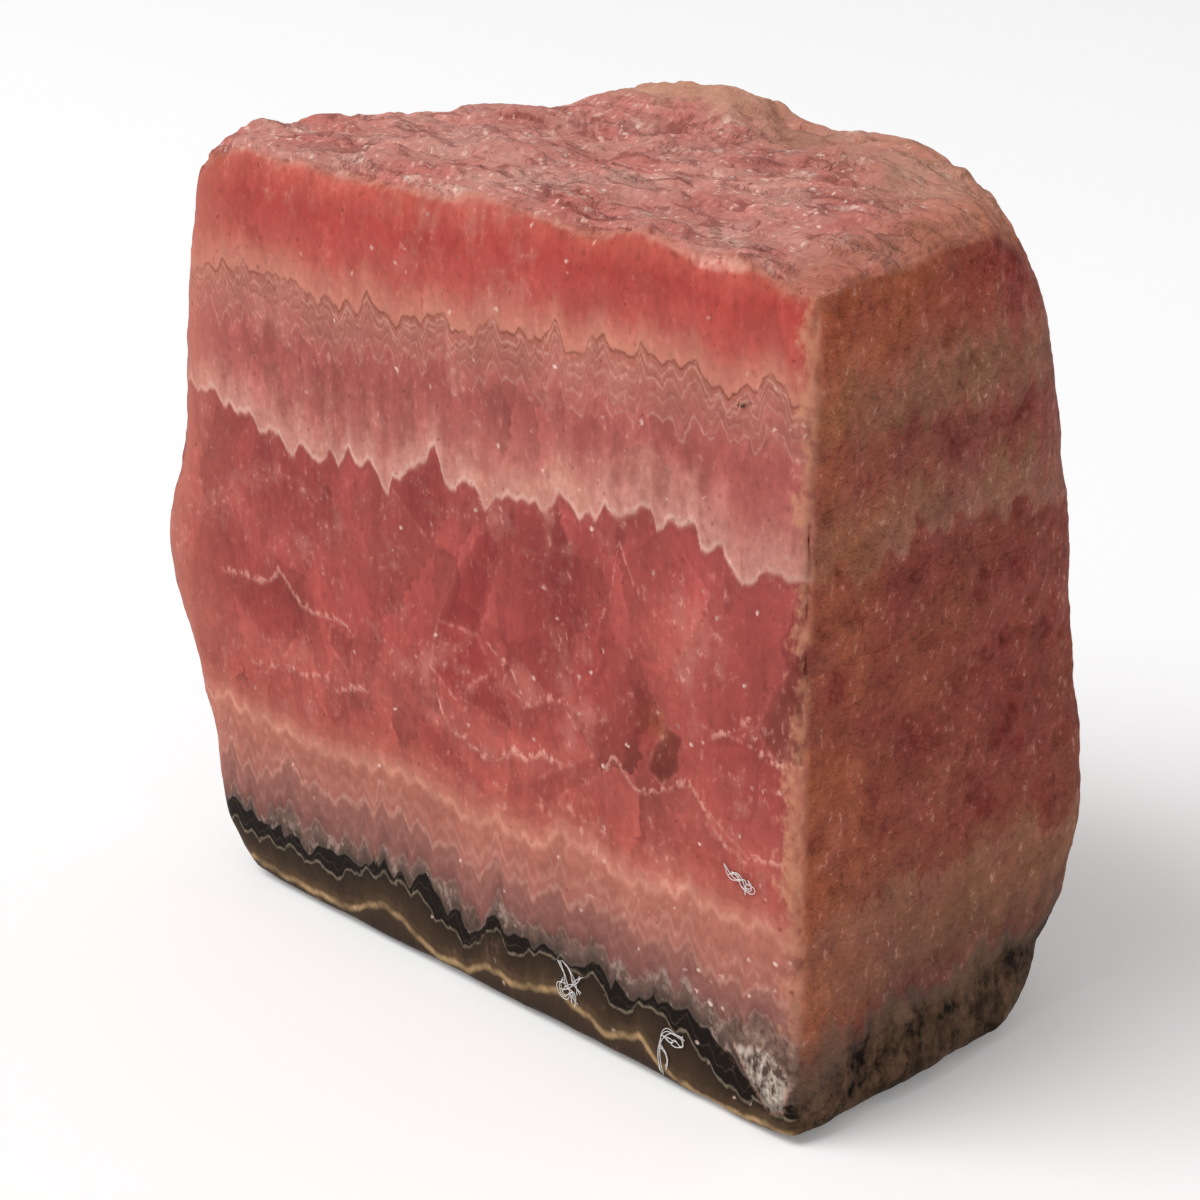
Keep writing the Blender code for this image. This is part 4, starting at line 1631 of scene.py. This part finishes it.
@dataclass
class StoneSkin:
    """The stone's outer surface, fine enough to carry its broken and weathered relief."""

    name: str = "stone_skin"
    node: str = STONE
    front_y: float = SAWN_Y * MM
    back_y: float = 15.3 * MM
    crown_from: float = 50.0 * MM
    flake_height: float = 0.34 * MM
    weather_height: float = 0.3 * MM
    pit_depth: float = 0.4 * MM
    chip_depth: float = 0.7 * MM
    flake_width: float = 2.4
    worn_width: float = 3.2
    pit_spacing: float = 1.8
    merge_within: float = 0.001 * MM
    cut_band: float = 0.02 * MM
    crown_slope: float = 0.55
    finish: StoneFinish = StoneFinish()

    def build(self) -> bpy.types.Object:
        """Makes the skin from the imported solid, relieves it and dresses it.

        Returns:
            The finished piece.
        """
        material = self.finish.material()
        sizes = {
            "Front": self.front_y, "Back": self.back_y, "Crown from": self.crown_from,
            "Flake height": self.flake_height, "Weather height": self.weather_height,
            "Pit depth": self.pit_depth, "Chip depth": self.chip_depth,
        }
        shaper = self._relief(material, tuple(sizes))
        skin = shaper.piece(self.name, self._fine_copy(), sizes, material)
        skin.data.polygons.foreach_set("use_smooth", [True] * len(skin.data.polygons))
        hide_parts(self.node)
        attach(skin, "root")
        LOG.info("%s: %d faces", skin.name, len(skin.data.polygons))
        return skin

    def _fine_copy(self) -> bpy.types.Mesh:
        """Copies the solid's mesh, merges it and splits its triangles, finest on the broken top.

        Returns:
            The fine mesh.
        """
        work = bmesh.new()
        work.from_mesh(frame_mesh(self.node))
        bmesh.ops.remove_doubles(work, verts=work.verts, dist=self.merge_within)
        for wanted in (None, self._off_the_cut, self._on_the_crown):
            edges = [edge for edge in work.edges if not wanted or all(wanted(vert) for vert in edge.verts)]
            bmesh.ops.subdivide_edges(work, edges=edges, cuts=1, use_grid_fill=True, smooth=0.0)
            bmesh.ops.triangulate(work, faces=[face for face in work.faces if len(face.verts) > 3])
        bmesh.ops.recalc_face_normals(work, faces=work.faces)
        mesh = bpy.data.meshes.new(self.name)
        work.to_mesh(mesh)
        work.free()
        return mesh

    def _off_the_cut(self, vert: bmesh.types.BMVert) -> bool:
        """Corners that are not in the middle of the flat sawn front."""
        return vert.co.y > self.front_y + self.cut_band

    def _on_the_crown(self, vert: bmesh.types.BMVert) -> bool:
        """Corners on the broken top."""
        return vert.normal.z > self.crown_slope and vert.co.z > self.crown_from

    def _relief(self, material: bpy.types.Material, sizes: Sequence[str]) -> Shaper:
        """Makes the tree that raises flakes, weathering and pits.

        Args:
            material: What the skin is made of.
            sizes: The names of the tree's number inputs.

        Returns:
            The tree's shaper.
        """
        shaper = Shaper.named("stone_relief", sizes)
        sheet, take = shaper.sheet, shaper.takes
        place = sheet.add("GeometryNodeInputPosition")
        normal = sheet.add("GeometryNodeInputNormal")
        calm = {"Value": place, "Iterations": 3}
        calmed = sheet.add("GeometryNodeBlurAttribute", {"data_type": "FLOAT_VECTOR"}, calm, out="Value")
        base = sheet.add("GeometryNodeSetPosition", None, {"Geometry": take["Geometry"], "Position": calmed})
        _, y, z = sheet.parts(place)
        nx, ny, nz = sheet.parts(normal)
        spot = sheet.scaled(place, 1 / MM)
        front = (y - take["Front"]).fall(0.15 * MM, 0.9 * MM)
        back = (y - take["Back"]).rise(-0.9 * MM, -0.2 * MM) * ny.rise(0.8, 0.97)
        sawn = front.highest(back)
        crown = nz.rise(0.3, 0.75) * (z - take["Crown from"]).rise(0.0, 3.0 * MM) * (1 - front)
        lifted = z.rise(0.1 * MM, 0.9 * MM)
        long = sheet.cloud(sheet.stretched(spot, (0.42, 1, 0.8)), self.flake_width, 3.0, 0.6)
        steps = long.rise(-0.25, 0.25) + long * 0.6 + sheet.cloud(spot, 5.0) * 0.3 - 0.8
        flakes = crown * (steps * take["Flake height"])
        worn = sheet.cloud(spot, self.worn_width, 5.0, 0.62) * take["Weather height"]
        holes = sheet.cells(spot, self.pit_spacing)
        pits = holes.dice[2].rise(0.75, 0.85) * holes.distance.fall(0.1, 0.45) * take["Pit depth"]
        sides = (1 - sawn) * (1 - crown) * (worn - pits)
        grain = sheet.cloud(spot, 2.0, 3.0)
        arris = (nz.highest(nx) * ny * -2.0).rise(0.25, 0.9)
        chips = arris * grain.rise(-0.1, 0.8) * take["Chip depth"]
        height = (flakes + sides + grain * 0.02 * MM - chips) * lifted
        feeds = {"Geometry": self._kept(sheet, base, sawn, crown), "Offset": sheet.scaled(normal, height)}
        shaper.close(sheet.add("GeometryNodeSetPosition", None, feeds), material)
        return shaper

    @staticmethod
    def _kept(sheet: NodeSheet, geometry: Wire, sawn: Wire, crown: Wire) -> Wire:
        """Stores the masks on the mesh for the material.

        Args:
            sheet: The relief tree.
            geometry: The mesh.
            sawn: 1 on sawn faces.
            crown: 1 on the broken top.

        Returns:
            The mesh with the masks.
        """
        feeds = {"Value": crown, "Iterations": 7}
        lip = sheet.add("GeometryNodeBlurAttribute", {"data_type": "FLOAT"}, feeds, out="Value")
        settings = {"data_type": "FLOAT", "domain": "POINT"}
        for name, mask in (("sawn", sawn), ("crown", crown), ("lip", lip)):
            feeds = {"Geometry": geometry, "Name": name, "Value": mask}
            geometry = sheet.add("GeometryNodeStoreNamedAttribute", settings, feeds)
        return geometry


def frame_mesh(node: str) -> bpy.types.Mesh:
    """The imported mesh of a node, which is only read."""
    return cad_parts[node].data


@dataclass
class Lint:
    """White threads that lie on the sawn face, each a row of points as x and z in millimetres."""

    name: str = "cotton_lint"
    front_y: float = SAWN_Y
    thickness: float = 0.055 * MM
    strands: int = 3
    fray: float = 0.16
    lowest_lift: float = 0.05
    loop_lift: float = 0.12
    finish: LintFinish = LintFinish()
    threads: tuple[tuple[Point, ...], ...] = (
        ((26.4, 18.5), (26.9, 18.0), (27.4, 17.7), (27.9, 17.9), (28.2, 17.5), (28.6, 17.7), (28.3, 18.1)),
        ((11.0, 5.7), (11.6, 4.9), (12.0, 4.0), (12.4, 3.4), (12.9, 3.0)),
        ((11.4, 5.9), (12.1, 5.4), (12.5, 4.5), (13.2, 4.0)),
        ((11.2, 3.6), (12.0, 3.9), (12.8, 4.9), (13.4, 5.3)),
        ((20.8, 1.2), (20.6, 2.2), (20.8, 3.2), (21.5, 4.2), (22.4, 4.5), (23.0, 4.3)),
        ((20.8, 3.2), (21.2, 2.7), (21.5, 2.0), (21.3, 1.4)),
        ((21.1, 3.9), (21.7, 3.6), (22.1, 4.0), (22.7, 3.7), (22.9, 4.2)),
        ((11.5, 4.6), (11.2, 4.0), (11.6, 3.3), (12.2, 3.5), (12.4, 2.9)),
        ((26.9, 18.2), (27.4, 18.0), (27.8, 17.5), (28.3, 17.3)),
    )

    def build(self) -> bpy.types.Object:
        """Makes the threads as one piece.

        Returns:
            The finished piece.
        """
        curve = bpy.data.curves.new(self.name, "CURVE")
        curve.dimensions = "3D"
        for thread, strand in itertools.product(self.threads, range(self.strands)):
            spline = curve.splines.new("BEZIER")
            spline.bezier_points.add(len(thread) - 1)
            for point, (x, z) in zip(spline.bezier_points, thread):
                point.co = self._place(x, z, strand)
                point.handle_left_type = point.handle_right_type = "AUTO"
        material = self.finish.material()
        piece = self._yarn(material).piece(self.name, curve, {"Thickness": self.thickness}, material)
        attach(piece, "root")
        LOG.info("%s: %d strands", piece.name, len(self.threads) * self.strands)
        return piece

    def _place(self, x: float, z: float, strand: int) -> Vector:
        """Where a strand passes a point of its thread, a little astray and lifted off the stone.

        Args:
            x: The point along the slice in millimetres.
            z: Its height in millimetres.
            strand: Which strand of the thread.

        Returns:
            The place in metres.
        """
        # uneven rates, so that no two strands run alike
        lift = self.lowest_lift + self.loop_lift * abs(math.sin(3.1 * x + 2.3 * z + strand))
        stray = self.fray * strand
        place = (x + stray * math.sin(5.3 * z + strand), self.front_y - lift, z + stray * math.cos(4.1 * x))
        return Vector(place) * MM

    @staticmethod
    def _yarn(material: bpy.types.Material) -> Shaper:
        """Makes the tree that gives threads their thickness.

        Args:
            material: What the threads are made of.

        Returns:
            The tree's shaper.
        """
        shaper = Shaper.named("lint_yarn", ("Thickness",))
        feeds = {"Resolution": 6, "Radius": shaper.takes["Thickness"] * 0.5}
        ring = shaper.sheet.add("GeometryNodeCurvePrimitiveCircle", None, feeds)
        feeds = {"Curve": shaper.takes["Geometry"], "Profile Curve": ring, "Fill Caps": True}
        shaper.close(shaper.sheet.add("GeometryNodeCurveToMesh", None, feeds), material)
        return shaper


@dataclass
class Studio:
    """The pale floor, the soft light and the camera."""

    floor_half: float = 3.0
    floor_finish: FloorFinish = FloorFinish()
    sky: float = 0.42
    key_energy: float = 27.0
    key_size: float = 1.2
    key_at: tuple[float, float, float] = (-0.55, -1.05, 1.6)
    aim: tuple[float, float, float] = (0.0, -0.012, 0.03)
    camera_at: tuple[float, float, float] = (0.131634, -0.132155, 0.09677)
    camera_along: tuple[float, float, float] = (-0.6601, 0.6601, -0.3584)
    lens: float = 82.2
    sensor: float = 36.0
    nearest: float = 0.01

    def build(self) -> None:
        """Sets up the floor, the light and the camera."""
        self._floor()
        self._light()
        self._camera()
        LOG.info("studio ready")

    def _floor(self) -> None:
        """Lays the paper under the stone."""
        work = bmesh.new()
        bmesh.ops.create_grid(work, x_segments=1, y_segments=1, size=self.floor_half)
        mesh = bpy.data.meshes.new("studio_floor")
        work.to_mesh(mesh)
        work.free()
        mesh.materials.append(self.floor_finish.material())
        floor = bpy.data.objects.new("studio_floor", mesh)
        bpy.context.scene.collection.objects.link(floor)

    def _light(self) -> None:
        """Hangs one large soft lamp and lights the room evenly."""
        world = bpy.data.worlds.new("studio_room")
        world.use_nodes = True
        world.node_tree.nodes["Background"].inputs["Color"].default_value = (1.0, 1.0, 1.0, 1.0)
        world.node_tree.nodes["Background"].inputs["Strength"].default_value = self.sky
        scene = bpy.context.scene
        scene.world = world
        scene.view_settings.view_transform = "Standard"
        lamp = bpy.data.lights.new("key_light", "AREA")
        lamp.shape = "SQUARE"
        lamp.size = self.key_size
        lamp.energy = self.key_energy
        holder = bpy.data.objects.new("key_light", lamp)
        holder.location = self.key_at
        holder.rotation_euler = (Vector(self.aim) - Vector(self.key_at)).to_track_quat("-Z", "Y").to_euler()
        scene.collection.objects.link(holder)

    def _camera(self) -> None:
        """Puts the camera where the photograph was taken from."""
        camera = bpy.data.cameras.new("camera")
        camera.lens = self.lens
        camera.sensor_width = self.sensor
        camera.clip_start = self.nearest
        holder = bpy.data.objects.new("camera", camera)
        holder.location = self.camera_at
        holder.rotation_euler = Vector(self.camera_along).to_track_quat("-Z", "Y").to_euler()
        bpy.context.scene.collection.objects.link(holder)
        bpy.context.scene.camera = holder


def corners(bounds: tuple[Vector, Vector]) -> list[list[float]]:
    """A box's lowest and highest corner as plain numbers."""
    return [list(corner) for corner in bounds]


def main() -> None:
    """Builds the stone, its lint and the studio."""
    logging.basicConfig(level=logging.INFO)
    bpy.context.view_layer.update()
    Studio().build()
    StoneSkin().build()
    Lint().build()


if __name__ == "__main__":
    main()
